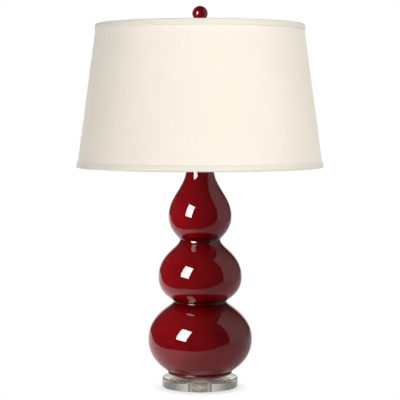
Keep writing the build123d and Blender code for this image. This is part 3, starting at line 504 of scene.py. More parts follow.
# ---------------------------------------------------------------- finishes
@dataclass(frozen=True)
class Finish:
    """What every finish shares: a name, and a material that is made once."""

    name: str

    def material(self) -> Material:
        """Returns the finish's material, and makes it the first time."""
        known = bpy.data.materials.get(self.name)
        return known or self.make(MaterialSheet(self.name))

    def make(self, sheet: MaterialSheet) -> Material:
        """Fills in the material's nodes; each finish has its own."""
        raise NotImplementedError


@dataclass(frozen=True)
class Glaze(Finish):
    """Deep glossy glaze, darker in hollows from pooling and painted shade, and satin on the foot.

    Each band in its list gives the height and half width of a hollow that pooling glaze and painted
    shade darken. The piece is bare under bare_below, and its glaze is satin under satin_below.
    """

    thin: Color = (0.215, 0.0020, 0.0050)
    deep: Color = (0.170, 0.0006, 0.0030)
    pooled_and_shaded: Color = (0.060, 0.0002, 0.0010)
    # Colour of the hollows: pooling glaze, with painted shade at the waists and over the foot.
    bisque: Color = (0.50, 0.38, 0.31)
    pool_and_shade_bands: tuple[tuple[float, float], ...] = ()
    bare_below: float = -1.0
    bare_fade: float = 0.0004
    satin_below: float = -1.0
    satin_fade: float = 0.002
    gloss: float = 0.035
    bare_roughness: float = 0.6
    satin_roughness: float = 0.22
    ior: float = 1.52
    patch_scale: float = 14.0
    peel_scale: float = 70.0
    peel_depth: float = 0.00003

    def make(self, sheet: MaterialSheet) -> Material:
        """Glaze over a pale body, bare where the piece stands.

        Args:
            sheet: the material's nodes.

        Returns:
            The finished material.
        """
        color = sheet.patches(self.patch_scale, self.deep, self.thin)["Color"]
        # Painted shade: each band darkens the glaze where it runs thick and where shade falls in the
        # hollow.
        for centre, half_width in self.pool_and_shade_bands:
            band = sheet.group(height_band(), Vector=sheet.place, Centre=centre, Half_Width=half_width)
            color = sheet.blend(band.outputs["Mask"], color, self.pooled_and_shaded)
        height = sheet.split(sheet.place)["Z"]
        bare = sheet.ramp(height, self.bare_below, self.bare_below + self.bare_fade, 1.0, 0.0)
        satin = sheet.ramp(
            height, self.satin_below, self.satin_below + self.satin_fade, self.satin_roughness, 0.0)
        roughness = sheet.math(
            "ADD", sheet.ramp(bare, 0.0, 1.0, self.gloss, self.bare_roughness), satin)
        sheet.feed(
            Base_Color=sheet.blend(bare, color, self.bisque), Roughness=roughness, IOR=self.ior)
        sheet.bump(sheet.grain(self.peel_scale), self.peel_depth)
        return sheet.material


@dataclass(frozen=True)
class ClearPlastic(Finish):
    """Polished clear plastic, a little smoky in its depth and matt as milled inside a radius."""

    tint: Color = (0.945, 0.895, 0.80)
    roughness: float = 0.012
    smear: float = 0.05
    ior: float = 1.49
    milled_radius: float = 0.0
    milled_fade: tuple[float, float] = (0.0001, 0.0003)
    milled_roughness: float = 0.30
    mark_scale: float = 240.0
    mark_depth: float = 0.00001

    def make(self, sheet: MaterialSheet) -> Material:
        """Glass-like shader with faint polishing marks.

        Args:
            sheet: the material's nodes.

        Returns:
            The finished material.
        """
        marks = sheet.grain(self.mark_scale)
        radius = sheet.from_axis(sheet.split(sheet.place))
        start, end = (self.milled_radius + past for past in self.milled_fade)
        milled = sheet.ramp(radius, start, end, self.milled_roughness, 0.0)
        polished = sheet.ramp(marks, NOISE_LOW, 0.8, self.roughness, self.roughness + self.smear)
        sheet.feed(Base_Color=self.tint, Transmission_Weight=1.0, IOR=self.ior)
        sheet.feed(Roughness=sheet.math("ADD", polished, milled))
        sheet.bump(marks, self.mark_depth)
        return sheet.material


@dataclass(frozen=True)
class Metal(Finish):
    """Plated or solid metal, with lathe rings or a drawn grain and a little tarnish.

    kept_color is the share of its own colour that is left where it is tarnished. Its marks take
    its roughness between two shares of itself.
    """

    color: Color = (0.80, 0.56, 0.23)
    tarnish: Color = (0.45, 0.27, 0.09)
    tarnish_reach: float = 0.35
    kept_color: float = 0.6
    roughness: float = 0.22
    roughness_shares: tuple[float, float] = (0.75, 1.45)
    rings: bool = True
    ring_scale: float = 2600.0
    grain_scale: float = 900.0
    depth: float = 0.000007
    patches: float = 60.0

    def make(self, sheet: MaterialSheet) -> Material:
        """Metal with its marks in colour, roughness and height.

        Args:
            sheet: the material's nodes.

        Returns:
            The finished material.
        """
        if self.rings:
            marks = sheet.group(
                turning_marks(), Vector=sheet.place, Scale=self.ring_scale).outputs["Height"]
        else:
            marks = sheet.grain(self.grain_scale)
        age = sheet.patches(self.patches, self.tarnish, self.color)
        bright = sheet.ramp(age["Mask"], 0.0, self.tarnish_reach, 0.0, 1.0)
        dulled = sheet.blend(self.kept_color, self.tarnish, self.color)
        smooth, rough = (self.roughness * share for share in self.roughness_shares)
        sheet.feed(
            Base_Color=sheet.blend(bright, dulled, self.color), Metallic=1.0,
            Roughness=sheet.ramp(marks, 0.25, 0.75, smooth, rough))
        sheet.bump(marks, self.depth)
        return sheet.material


@dataclass(frozen=True)
class Moulding(Finish):
    """Moulded plastic, rubber, fibre card or vitreous insulator with a fine skin."""

    color: Color = (0.02, 0.02, 0.02)
    worn: Color = (0.05, 0.048, 0.045)
    roughness: float = 0.38
    roughness_spread: tuple[float, float] = (-0.06, 0.08)
    patches: float = 120.0
    grain: float = 900.0
    depth: float = 0.00004

    def make(self, sheet: MaterialSheet) -> Material:
        """Opaque moulded skin.

        Args:
            sheet: the material's nodes.

        Returns:
            The finished material.
        """
        skin = sheet.grain(self.grain)
        smooth, rough = (self.roughness + more for more in self.roughness_spread)
        sheet.feed(
            Base_Color=sheet.patches(self.patches, self.color, self.worn)["Color"],
            Roughness=sheet.ramp(skin, NOISE_LOW, NOISE_HIGH, smooth, rough))
        sheet.bump(skin, self.depth)
        return sheet.material


@dataclass(frozen=True)
class PaleSkin(Finish):
    """The lining's pale smooth skin, faintly patchy from the glue behind it."""

    color: Color = (0.86, 0.85, 0.81)
    patch_dim: float = 0.965
    patches: float = 45.0
    grain: float = 400.0
    depth: float = 0.00003
    smoothest: float = 0.42
    roughest: float = 0.54

    def make(self, sheet: MaterialSheet) -> Material:
        """Satin skin over its patches.

        Args:
            sheet: the material's nodes.

        Returns:
            The finished material.
        """
        dimmer = tuple(share * self.patch_dim for share in self.color)
        skin = sheet.grain(self.grain)
        sheet.feed(
            Base_Color=sheet.patches(self.patches, dimmer, self.color)["Color"],
            Roughness=sheet.ramp(skin, NOISE_LOW, NOISE_HIGH, self.smoothest, self.roughest))
        sheet.bump(skin, self.depth)
        return sheet.material


@dataclass(frozen=True)
class FrostedGlass(PaleSkin):
    """Bulb glass with a white coat inside, as patchy as a pale skin."""

    transmission: float = 0.12
    ior: float = 1.45

    def make(self, sheet: MaterialSheet) -> Material:
        """Milky glass that lets a little light through."""
        sheet.feed(Transmission_Weight=self.transmission, IOR=self.ior)
        return super().make(sheet)


@dataclass(frozen=True)
class Cloth(Finish):
    """Woven cloth whose threads follow the piece's own map, in metres."""

    color: Color = (0.915, 0.86, 0.755)
    shadow: Color = (0.86, 0.795, 0.68)
    pitch: float = 0.0011
    depth: float = 0.00016
    patches: float = 9.0
    patch_share: float = 0.35
    slub_share: float = 0.55
    roughness: float = 0.86
    specular: float = 0.12
    sheen: float = 0.04

    def make(self, sheet: MaterialSheet) -> Material:
        """Threads, slubs and soft patches of shade.

        Args:
            sheet: the material's nodes.

        Returns:
            The finished material.
        """
        threads = sheet.node("ShaderNodeUVMap", uv_map=THREAD_MAP).outputs[0]
        weave = sheet.group(plain_weave(), Vector=threads, Pitch=self.pitch).outputs
        patches = sheet.patches(self.patches, self.shadow, self.color)["Color"]
        soft = sheet.blend(self.patch_share, self.color, patches)
        thick = sheet.ramp(weave["Slubs"], 0.1, 0.9, 0.0, self.slub_share)
        sheet.feed(
            Base_Color=sheet.blend(thick, soft, self.shadow), Roughness=self.roughness,
            Specular_IOR_Level=self.specular, Sheen_Weight=self.sheen, Sheen_Roughness=0.5)
        sheet.bump(weave["Height"], self.depth)
        return sheet.material


class Finishes(Enum):
    """Every finish on the lamp."""

    GLAZE = Glaze(
        # Bands of pooling glaze and painted shade: lower waist, upper waist, crease over the foot.
        "oxblood_glaze", pool_and_shade_bands=((0.1691, 0.016), (0.291, 0.015), (0.0314, 0.003)), bare_below=0.0210,
        satin_below=0.0308)
    # The gourd's oxblood glaze painted lighter: painted light on the ball, which the lamps light less.
    BALL_GLAZE = Glaze(
        "oxblood_glaze_ball_painted_lighter", thin=(0.31, 0.003, 0.007), deep=(0.26, 0.001, 0.004), bare_below=0.7172)
    ACRYLIC = ClearPlastic("clear_acrylic_polished", milled_radius=0.016)
    CLEAR_RUBBER = ClearPlastic("clear_soft_rubber", tint=(0.96, 0.955, 0.94), roughness=0.05, ior=1.45)
    STEEL = Metal("zinc_plate", color=(0.80, 0.80, 0.79), tarnish=(0.62, 0.62, 0.60), roughness=0.30)
    BRASS = Metal("polished_brass")
    WIRE_BRASS = Metal("brass_plated_wire", rings=False, roughness=0.24, depth=0.000004, patches=35.0)
    SHELL_BRASS = Metal(
        "antique_brass_shell", color=(0.72, 0.49, 0.19), tarnish=(0.40, 0.24, 0.08), roughness=0.30)
    ALUMINIUM = Metal(
        "drawn_aluminium", color=(0.78, 0.78, 0.79), tarnish=(0.62, 0.62, 0.63), roughness=0.28)
    RING_WIRE = Metal(
        "white_coated_wire", color=(0.72, 0.71, 0.68), tarnish=(0.60, 0.59, 0.56), roughness=0.42,
        rings=False)
    CORE_PLASTIC = Moulding("thermoset_core", color=(0.030, 0.022, 0.018), worn=(0.055, 0.042, 0.034))
    KNOB_PLASTIC = Moulding("black_knob_plastic", roughness=0.30)
    INSULATOR_GLASS = Moulding("black_base_glass", roughness=0.12, depth=0.00001)
    CARD = Moulding(
        "grey_fibre_card", color=(0.30, 0.28, 0.25), worn=(0.40, 0.375, 0.335), roughness=0.82,
        grain=1600.0, depth=0.00008)
    BULB_GLASS = FrostedGlass(
        "soft_white_glass", color=(0.90, 0.895, 0.87), patch_dim=0.97, patches=25.0, grain=1500.0,
        depth=0.00001, smoothest=0.26, roughest=0.36)
    SHADE_CLOTH = Cloth("ivory_linen")
    TRIM_CLOTH = Cloth("ivory_trim", color=(0.84, 0.80, 0.70), shadow=(0.77, 0.73, 0.62), pitch=0.0008)
    LINING = PaleSkin("white_hardback")

    def material(self) -> Material:
        """Returns the finish's material."""
        return self.value.material()


# ---------------------------------------------------------------- studio
class SeenBy(Enum):
    """What a light or a stage piece shows itself to; each value lists the rays that miss it."""

    REFLECTIONS = ("camera", "diffuse", "transmission", "shadow")
    SOFT_LIGHT = ("glossy", "transmission")

    def apply(self, piece: Object) -> None:
        """Hides a piece from the rays that miss it."""
        for ray in self.value:
            setattr(piece, "visible_" + ray, False)


class LitPart(Enum):
    """What a studio lamp lights: the photograph lights the shade and the body apart."""

    SHADE = "INCLUDE"
    BODY = "EXCLUDE"


@dataclass
class Lamp:
    """A soft rectangular studio light that is seen only by what it lights.

    Its angles are in degrees, and its level is how bright a white face turned to it gets.
    """

    name: str
    azimuth: float
    elevation: float
    distance: float
    width: float
    height: float
    level: float
    aim: float = 0.30
    lights: LitPart = LitPart.BODY

    def place(self) -> Matrix:
        """Finds where the light stands.

        Returns:
            Its place, from which it looks at a point on the lamp's axis.
        """
        azimuth, elevation = radians(self.azimuth), radians(self.elevation)
        way = Vector((sin(azimuth) * cos(elevation), -cos(azimuth) * cos(elevation), sin(elevation)))
        centre = Vector((0.0, 0.0, self.aim)) + way * self.distance
        return Matrix.Translation(centre) @ way.to_track_quat("Z", "Y").to_matrix().to_4x4()

    def build(self, group: Collection) -> None:
        """Adds the light.

        Args:
            group: the pieces that it lights, or that it leaves dark.
        """
        data = bpy.data.lights.new(self.name, "AREA")
        data.shape = "RECTANGLE"
        data.size, data.size_y = self.width, self.height
        data.energy = self.level * (pi * self.distance) ** 2
        light = bpy.data.objects.new(self.name, data)
        light.matrix_world = self.place()
        light.light_linking.receiver_collection = group
        SeenBy.SOFT_LIGHT.apply(light)
        bpy.context.scene.collection.objects.link(light)
        LOG.info("lit %s", self.name)


@dataclass
class Studio:
    """Camera, pale floor, the panels that the glaze mirrors, lamps and surroundings.

    Angles are in degrees. The table is the part of the floor that the glaze mirrors as pale.
    """

    lens: float = 135.0
    camera_distance: float = 2.931
    camera_height: float = 0.5425
    camera_dip: float = 3.4
    floor_radius: float = 8.0
    floor_drop: float = 0.0004
    floor_level: float = 0.92
    contact_shadow: Fade = (0.072, 0.10, 0.70, 1.0)
    table_front: float = -0.29
    table_slant: float = 0.25
    table_corner: float = -0.315
    table_corner_turn: float = 40.5
    table_edge_blur: float = 0.015
    # Painted shadow and shade on the table in mirror images: darker near the lamp, where its shadow
    # falls, and darker towards the right.
    table_shadow_near_lamp: Fade = (0.05, 0.20, 0.60, 1.0)
    table_shade_aside: Fade = (-0.20, 0.12, 1.0, 0.47)
    past_table_loss: float = 0.94
    wall_distance: float = 1.20
    wall_front: float = -0.53
    wall_back: float = 1.60
    wall_height: float = 2.20
    wall_front_level: float = 0.74
    wall_back_level: float = 0.16
    wall_color: Color = (0.97, 1.0, 0.99)
    softbox_azimuth: float = -38.6
    softbox_elevation: float = 20.0
    softbox_distance: float = 2.0
    softbox_width: float = 0.87
    softbox_height: float = 1.29
    softbox_aim: float = 0.23
    softbox_roll: float = -13.2
    softbox_level: float = 24.0
    backdrop_half_angle: float = 20.0
    backdrop_blur: float = 4.0
    room_mirror_level: float = 0.06
    room_soft_level: float = 0.20
    # Painted shade on the floor and room seen through the clear disc, brightest in the middle of each
    # wall.
    shade_through_glass: Fade = (0.82, 1.0, 0.23, 0.60)

    def build(self) -> None:
        """Sets the whole studio up, apart from its lamps."""
        self.add_camera()
        self.add_floor()
        self.add_wall()
        self.add_softbox()
        self.fill_surroundings()

    def add_lamps(self, shade_walls: list[Object]) -> None:
        """Adds the lamps.

        Args:
            shade_walls: the shade's cloth and trims, which have lamps of their own.
        """
        groups = {}
        for part in LitPart:
            groups[part] = bpy.data.collections.new("lit_" + part.name.lower())
            for piece in shade_walls:
                groups[part].objects.link(piece)
            for member in groups[part].collection_objects:
                member.light_linking.link_state = part.value
        shade = {"elevation": 12.0, "distance": 2.6, "width": 1.4, "height": 1.2, "aim": 0.57,
                 "lights": LitPart.SHADE}
        for lamp in (
            Lamp("key_lamp", -68.0, 8.0, 2.2, width=0.8, height=1.2, level=0.87),
            Lamp("front_lamp", 0.0, 12.0, 2.8, width=1.2, height=1.2, level=0.08),
            Lamp("back_lamp", 165.0, 30.0, 2.6, width=1.6, height=1.2, level=0.55),
            Lamp("shade_far_left_lamp", -75.0, level=0.04, **shade),
            Lamp("shade_left_lamp", -25.0, level=0.25, **shade),
            Lamp("shade_right_lamp", 25.0, level=0.53, **shade),
            Lamp("shade_far_right_lamp", 75.0, level=0.14, **shade),
            Lamp("shade_back_left_lamp", -150.0, level=0.42, **shade),
            Lamp("shade_back_right_lamp", 150.0, level=0.42, **shade),
        ):
            lamp.build(groups[lamp.lights])

    def keep_out_of_mirrors(self, pieces: list[Object]) -> None:
        """Leaves pieces out of mirror images: the photographed glaze doesn't show the shade."""
        for piece in pieces:
            piece.visible_glossy = False

    def add_camera(self) -> None:
        """Adds the camera at the photograph's place, looking a little down."""
        data = bpy.data.cameras.new("camera")
        data.lens = self.lens
        camera = bpy.data.objects.new("camera", data)
        camera.location = (0.0, -self.camera_distance, self.camera_height)
        camera.rotation_euler = (radians(90.0 - self.camera_dip), 0.0, 0.0)
        bpy.context.scene.collection.objects.link(camera)
        bpy.context.scene.camera = camera
        bpy.context.scene.view_settings.view_transform = "Standard"
        LOG.info("set the camera")

    def add_floor(self) -> None:
        """Adds the pale floor: the camera sees the lamp's shadow, the glass and glaze see painted
        shade.
        """
        mesh = bmesh.new()
        bmesh.ops.create_circle(
            mesh, cap_ends=True, segments=96, radius=self.floor_radius,
            matrix=Matrix.Translation((0.0, 0.0, -self.floor_drop)))
        floor = piece_from(mesh, "floor")
        sheet = MaterialSheet("pale_floor")
        sheet.feed(Base_Color=(self.floor_level,) * 3, Roughness=0.9, Specular_IOR_Level=0.0)
        parts = sheet.split(sheet.place)
        radius = sheet.from_axis(parts)
        light = sheet.node("ShaderNodeLightPath").outputs
        through = self.through_glass(sheet, light)
        mirrored = sheet.math("SUBTRACT", light["Is Glossy Ray"], through, clamp=True)
        turn = radians(self.table_corner_turn)
        table = sheet.math(
            "MULTIPLY", self.past_line(sheet, parts, self.table_slant, 1.0, self.table_front),
            self.past_line(sheet, parts, cos(turn), sin(turn), self.table_corner))
        # The table's painted shade in mirror images: the lamp's shadow near its axis, and dimmer to the
        # right.
        painted_table_shade = sheet.math(
            "MULTIPLY", sheet.ramp(radius, *self.table_shadow_near_lamp),
            sheet.ramp(parts["X"], *self.table_shade_aside))
        dark = sheet.math("SUBTRACT", 1.0, sheet.math("MULTIPLY", table, painted_table_shade))
        loss = sheet.math("MULTIPLY", sheet.math("MULTIPLY", mirrored, dark), self.past_table_loss)
        level = sheet.math("SUBTRACT", 1.0, loss)
        level = self.paint_shade_through_glass(sheet, level, through, parts, radius)
        paper = sheet.math("MULTIPLY", light["Is Camera Ray"], sheet.ramp(radius, *self.contact_shadow))
        share = sheet.math("ADD", sheet.math("ADD", paper, through), mirrored, clamp=True)
        mix = sheet.node(
            "ShaderNodeMixShader", {0: share, 1: sheet.shader.outputs[0], 2: sheet.glow(WHITE, level)})
        floor.data.materials.append(sheet.surface(mix.outputs[0]))
        LOG.info("laid the floor")

    def through_glass(self, sheet: NodeSheet, light: Sockets) -> NodeSocket:
        """Returns a mask of the rays that have come through the clear disc."""
        return sheet.math("SUBTRACT", light["Is Transmission Ray"], light["Is Camera Ray"], clamp=True)

    def paint_shade_through_glass(self, sheet: NodeSheet, level: NodeSocket, through: NodeSocket,
                          parts: Sockets, reach: Value) -> NodeSocket:
        """Paints shade on the room for rays through the clear disc: each wall is brightest in its
        middle.

        Args:
            sheet: the nodes of the floor or the world.
            level: how bright the room is to other rays.
            through: the mask of the rays through the disc.
            parts: sockets of the X and Y of a place or a direction.
            reach: the length of that X and Y together.

        Returns:
            The dimmed level.
        """
        aside, ahead = (sheet.math("ABSOLUTE", parts[axis]) for axis in "XY")
        middle = sheet.math("DIVIDE", sheet.math("MAXIMUM", aside, ahead), reach)
        # Painted shade: rays through the disc see the floor and the room darker.
        loss = sheet.math("SUBTRACT", 1.0, sheet.ramp(middle, *self.shade_through_glass))
        return sheet.math("SUBTRACT", level, sheet.math("MULTIPLY", through, loss))

    def past_line(self, sheet: NodeSheet, parts: Sockets, across: float, along: float,
                  edge: float) -> NodeSocket:
        """Masks the floor beyond a straight edge of the table.

        Args:
            sheet: the floor's nodes.
            parts: sockets of the floor's own X and Y.
            across: how much X counts.
            along: how much Y counts.
            edge: the weighed sum at which the table starts.

        Returns:
            The mask, 1 on the table.
        """
        weighed = sheet.math("ADD", sheet.math("MULTIPLY", parts["X"], across),
                             sheet.math("MULTIPLY", parts["Y"], along))
        return sheet.ramp(weighed, edge - self.table_edge_blur, edge + self.table_edge_blur, 0.0, 1.0)

    def add_panel(self, mesh: BMesh, name: str, material: Material) -> None:
        """Adds a panel that only reflections see.

        Args:
            mesh: its mesh, in place.
            name: its name.
            material: what it shines with.
        """
        panel = piece_from(mesh, name)
        panel.data.materials.append(material)
        SeenBy.REFLECTIONS.apply(panel)
        LOG.info("set up the %s", name)

    def add_wall(self) -> None:
        """Adds the pale wall at the right that the glaze mirrors, brighter towards its front."""
        mesh = bmesh.new()
        mesh.faces.new([
            mesh.verts.new((self.wall_distance, y, z))
            for y, z in (
                (self.wall_front, 0.0), (self.wall_front, self.wall_height),
                (self.wall_back, self.wall_height), (self.wall_back, 0.0))])
        sheet = MaterialSheet("grey_wall")
        level = sheet.ramp(
            sheet.split(sheet.place)["Y"], self.wall_front, self.wall_back, self.wall_front_level,
            self.wall_back_level)
        self.add_panel(mesh, "side_wall", sheet.surface(sheet.glow(self.wall_color, level)))

    def add_softbox(self) -> None:
        """Adds the bright rectangle whose mirror image stands on each belly."""
        box = Lamp(
            "softbox", self.softbox_azimuth, self.softbox_elevation, self.softbox_distance,
            self.softbox_width, self.softbox_height, self.softbox_level, aim=self.softbox_aim)
        roll = Matrix.Rotation(radians(self.softbox_roll), 4, "Z")
        size = Matrix.Diagonal((box.width, box.height, 1.0, 1.0))
        mesh = bmesh.new()
        bmesh.ops.create_grid(
            mesh, x_segments=1, y_segments=1, size=0.5, matrix=box.place() @ roll @ size)
        sheet = MaterialSheet("softbox_front")
        self.add_panel(mesh, box.name, sheet.surface(sheet.glow(WHITE, box.level)))

    def fill_surroundings(self) -> None:
        """Sets the world: white to the camera, painted shade through glass, a backdrop in mirror
        images.
        """
        world = bpy.data.worlds.new("studio_air")
        world.use_nodes = True
        bpy.context.scene.world = world
        sheet = NodeSheet(world.node_tree)
        parts = sheet.split(sheet.node("ShaderNodeTexCoord").outputs["Generated"])
        light = sheet.node("ShaderNodeLightPath").outputs
        edge = self.backdrop_half_angle
        behind = sheet.ramp(
            parts["Y"], cos(radians(edge + self.backdrop_blur)), cos(radians(edge)), 0.0, 1.0)
        mirrored = sheet.math(
            "MULTIPLY", light["Is Glossy Ray"],
            sheet.ramp(behind, 0.0, 1.0, self.room_mirror_level, 1.0))
        clear = sheet.math("MAXIMUM", light["Is Camera Ray"], light["Is Transmission Ray"])
        seen = sheet.math("ADD", clear, mirrored, clamp=True)
        seen = self.paint_shade_through_glass(sheet, seen, self.through_glass(sheet, light), parts, 1.0)
        direct = sheet.math("ADD", clear, light["Is Glossy Ray"], clamp=True)
        soft = sheet.math("MULTIPLY", sheet.math("SUBTRACT", 1.0, direct), self.room_soft_level)
        background = world.node_tree.nodes["Background"]
        sheet.plug(background.inputs["Color"], WHITE)
        sheet.plug(background.inputs["Strength"], sheet.math("ADD", seen, soft))
        LOG.info("filled the surroundings")


# ---------------------------------------------------------------- gourd
@dataclass
class Stretch:
    """One stretch of the gourd's outline, upright at both ends.

    It ends at a radius, after a rise. Each fullness is the share of the rise that the outline
    spends leaving, or arriving, upright.
    """

    radius: float
    rise: float
    lower_fullness: float
    upper_fullness: float
    steps: int = 36


@dataclass
class GlazedGourd:
    """The ceramic body: a rolled foot, three bellies, two waists and a neck. Angles are in degrees."""

    foot_radius: float = 0.0465
    roll_radius: float = 0.0628
    roll_level: float = 0.0089
    roll_leave_angle: float = 32.0
    roll_handle: float = 0.009
    roll_fullness: float = 0.4
    foot_height: float = 0.0108
    foot_ring_width: float = 0.008
    foot_ring_round: float = 0.001
    foot_recess_depth: float = 0.002
    foot_hole_radius: float = 0.013
    crease_round: float = 0.0009
    underside_radius: float = 0.0613
    underside_angle: float = 35.1
    underside_handle: float = 0.0189
    underside_fullness: float = 0.579
    lower_belly_radius: float = 0.1018
    foot_to_belly: float = 0.0648
    wall: float = 0.006
    floor: float = 0.007
    rim_round: float = 0.0014
    outlet_barrel_radius: float = 0.0063
    outlet_barrel_past_wall: float = 0.0025
    outlet_flange_radius: float = 0.0086
    outlet_flange_thickness: float = 0.002
    outlet_seat_depth: float = 0.0012
    outlet_cut_reach: float = 0.012
    segments: int = 192

    def __post_init__(self) -> None:
        """Finds where the gourd stands and lists its stretches above the lower belly."""
        self.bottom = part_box("gourd_body")[0].z
        self.stretches = [
            Stretch(0.0519, 0.0729, 0.662, 0.076),  # lower waist
            Stretch(0.0816, 0.0483, 0.118, 0.699),  # middle belly
            Stretch(0.0395, 0.0736, 0.643, 0.207),  # upper waist
            Stretch(0.0616, 0.0460, 0.097, 0.635),  # upper belly
            Stretch(0.0265, 0.0970, 0.427, 0.424),  # neck
        ]

    def build(self) -> None:
        """Spins the gourd and cuts the cord's outlet in its back."""
        outline = self.draw_outside()
        outline.points += reversed(self.draw_inside().points)
        recess = self.bottom + self.foot_recess_depth
        ring = self.foot_radius - self.foot_ring_width
        outline.line(
            (self.foot_hole_radius, self.bottom + self.floor), (self.foot_hole_radius, recess),
            (ring - self.foot_ring_round, recess))
        outline.quarter(ring, self.bottom + self.foot_recess_depth / 2, upright_first=False)
        outline.line((ring, self.bottom))
        mesh = turned(outline, self.segments)
        self.fill_crease(mesh)
        self.gourd = piece_from(mesh, "glazed_gourd")
        cut_away(self.gourd, self.outlet_cutter())

    def draw_outside(self) -> Outline:
        """Draws the outside.

        Returns:
            The outline from the foot's underside up to the neck's rim.
        """
        outline = Outline((self.foot_radius, self.bottom))
        top = self.bottom + self.foot_height
        widest = self.bottom + self.roll_level
        slope = radians(self.roll_leave_angle)
        outline.curve(
            (self.foot_radius + self.roll_handle * cos(slope),
             self.bottom + self.roll_handle * sin(slope)),
            (self.roll_radius, widest - self.roll_fullness * self.roll_level),
            (self.roll_radius, widest), 14)
        third = (top - widest) / 3
        outline.curve(
            (self.roll_radius, widest + third),
            ((self.underside_radius + 2 * self.roll_radius) / 3, top - 2 * third),
            (self.underside_radius, top), 6)
        self.draw_underside(outline, self.lower_belly_radius, 48)
        for part in self.stretches:
            start = outline.points[-1]
            leave = (start.x, start.z + part.lower_fullness * part.rise)
            arrive = (part.radius, start.z + (1 - part.upper_fullness) * part.rise)
            outline.curve(leave, arrive, (part.radius, start.z + part.rise), part.steps)
        rim = outline.points.pop()
        while outline.points[-1].z > rim.z - self.rim_round:
            outline.points.pop()
        outline.line((rim.x, rim.z - self.rim_round))
        outline.quarter(rim.x - self.rim_round, rim.z, upright_first=True, steps=6)
        return outline

    def draw_inside(self) -> Outline:
        """Draws the inner wall, an even wall away from the outside.

        Returns:
            The outline from the floor up to the rim.
        """
        slope = radians(self.underside_angle)
        outline = Outline(
            (self.foot_radius - self.wall, self.bottom + self.floor),
            (self.underside_radius - self.wall * sin(slope),
             self.bottom + self.foot_height + self.wall * cos(slope)))
        self.draw_underside(outline, self.lower_belly_radius - self.wall, 24)
        for part in self.stretches:
            last = outline.points[-1]
            radius = part.radius - self.wall
            ease = 2 / 3 * (radius - last.x) * self.wall
            lower = sqrt((part.lower_fullness * part.rise) ** 2 + ease)
            upper = sqrt((part.upper_fullness * part.rise) ** 2 - ease)
            outline.curve(
                (last.x, last.z + lower), (radius, last.z + part.rise - upper),
                (radius, last.z + part.rise), part.steps // 2)
        return outline

    def draw_underside(self, outline: Outline, belly: float, steps: int) -> None:
        """Adds the lower belly's underside, up to where it is widest.

        Args:
            outline: the outline, which has come to the crease over the foot.
            belly: the lower belly's radius on this side of the wall.
            steps: number of short lines.
        """
        slope, handle = radians(self.underside_angle), self.underside_handle
        start = outline.points[-1]
        level = self.bottom + self.foot_height + self.foot_to_belly
        outline.curve(
            (start.x + handle * cos(slope), start.z + handle * sin(slope)),
            (belly, level - self.underside_fullness * self.foot_to_belly), (belly, level), steps)

    def fill_crease(self, mesh: BMesh) -> None:
        """Rounds the crease over the foot, where the glaze gathers.

        Args:
            mesh: the gourd's mesh.
        """
        crease = [
            e for e in mesh.edges
            if all(abs(v.co.z - self.bottom - self.foot_height) < 1e-5 for v in e.verts)
            and all(v.co.xy.length > self.underside_radius - 1e-4 for v in e.verts)]
        bmesh.ops.bevel(
            mesh, geom=crease, offset=self.crease_round, offset_type="OFFSET", segments=3, profile=0.5,
            affect="EDGES", material=-1)

    def outlet_cutter(self) -> Object:
        """Makes the stepped shape of the bushing's hole and seat.

        Returns:
            The shape, in place in the gourd's back.
        """
        mount = next(m for m in frame["record"]["mounts"] if m["name"] == "cord_outlet")
        way = Vector(mount["axis"])
        past_seat = self.outlet_flange_thickness - self.outlet_seat_depth
        length = self.wall + self.outlet_barrel_past_wall + past_seat
        skin = Vector(mount["pos_m"]) + way * (length / 2 - past_seat)
        reach, seat_level = self.outlet_cut_reach, -self.outlet_seat_depth
        barrel, flange = self.outlet_barrel_radius, self.outlet_flange_radius
        outline = Outline(
            (0.0, -reach), (barrel, -reach), (barrel, seat_level), (flange, seat_level),
            (flange, reach), (0.0, reach))
        mesh = turned(outline, 48, closed=False)
        place = Matrix.Translation(skin) @ way.to_track_quat("Z", "Y").to_matrix().to_4x4()
        bmesh.ops.transform(mesh, matrix=place, verts=mesh.verts)
        return piece_from(mesh, "outlet_cutter")

    def dress(self) -> None:
        """Glazes the gourd and finishes its bushing."""
        seat(self.gourd, Finishes.GLAZE, "base", "gourd_body")
        carry_over(Finishes.CORE_PLASTIC, "cord_bushing")


# ---------------------------------------------------------------- base
@dataclass
class ClearBase:
    """The clear disc, its feet and the hardware in its recess.

    The disc stops an air gap over its feet, so that light leaves it before it enters them.
    """

    edge_bevel: float = 0.0013
    hole_radius: float = 0.0051
    recess_radius: float = 0.016
    recess_depth: float = 0.010
    polish_round: float = 0.0002
    polish_crease: float = radians(12)
    air_gap: float = 0.00002
    segments: int = 192

    def build(self) -> None:
        """Spins the disc."""
        low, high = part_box("acrylic_base")
        radius, bevel, bottom = high.x, self.edge_bevel, low.z + self.air_gap
        ceiling = low.z + self.recess_depth
        outline = Outline(
            (self.recess_radius, bottom), (radius - bevel, bottom), (radius, bottom + bevel),
            (radius, high.z - bevel), (radius - bevel, high.z), (self.hole_radius, high.z),
            (self.hole_radius, ceiling), (self.recess_radius, ceiling))
        mesh = turned(outline, self.segments)
        soften(mesh, self.polish_round)
        self.disc = piece_from(mesh, "clear_disc", crease=self.polish_crease)

    def dress(self) -> None:
        """Finishes the disc and its hardware."""
        seat(self.disc, Finishes.ACRYLIC, "base", "acrylic_base")
        carry_over(Finishes.CLEAR_RUBBER, "bumper_feet")
        carry_over(Finishes.STEEL, "base_washer", "base_lock_washer", "base_nut")


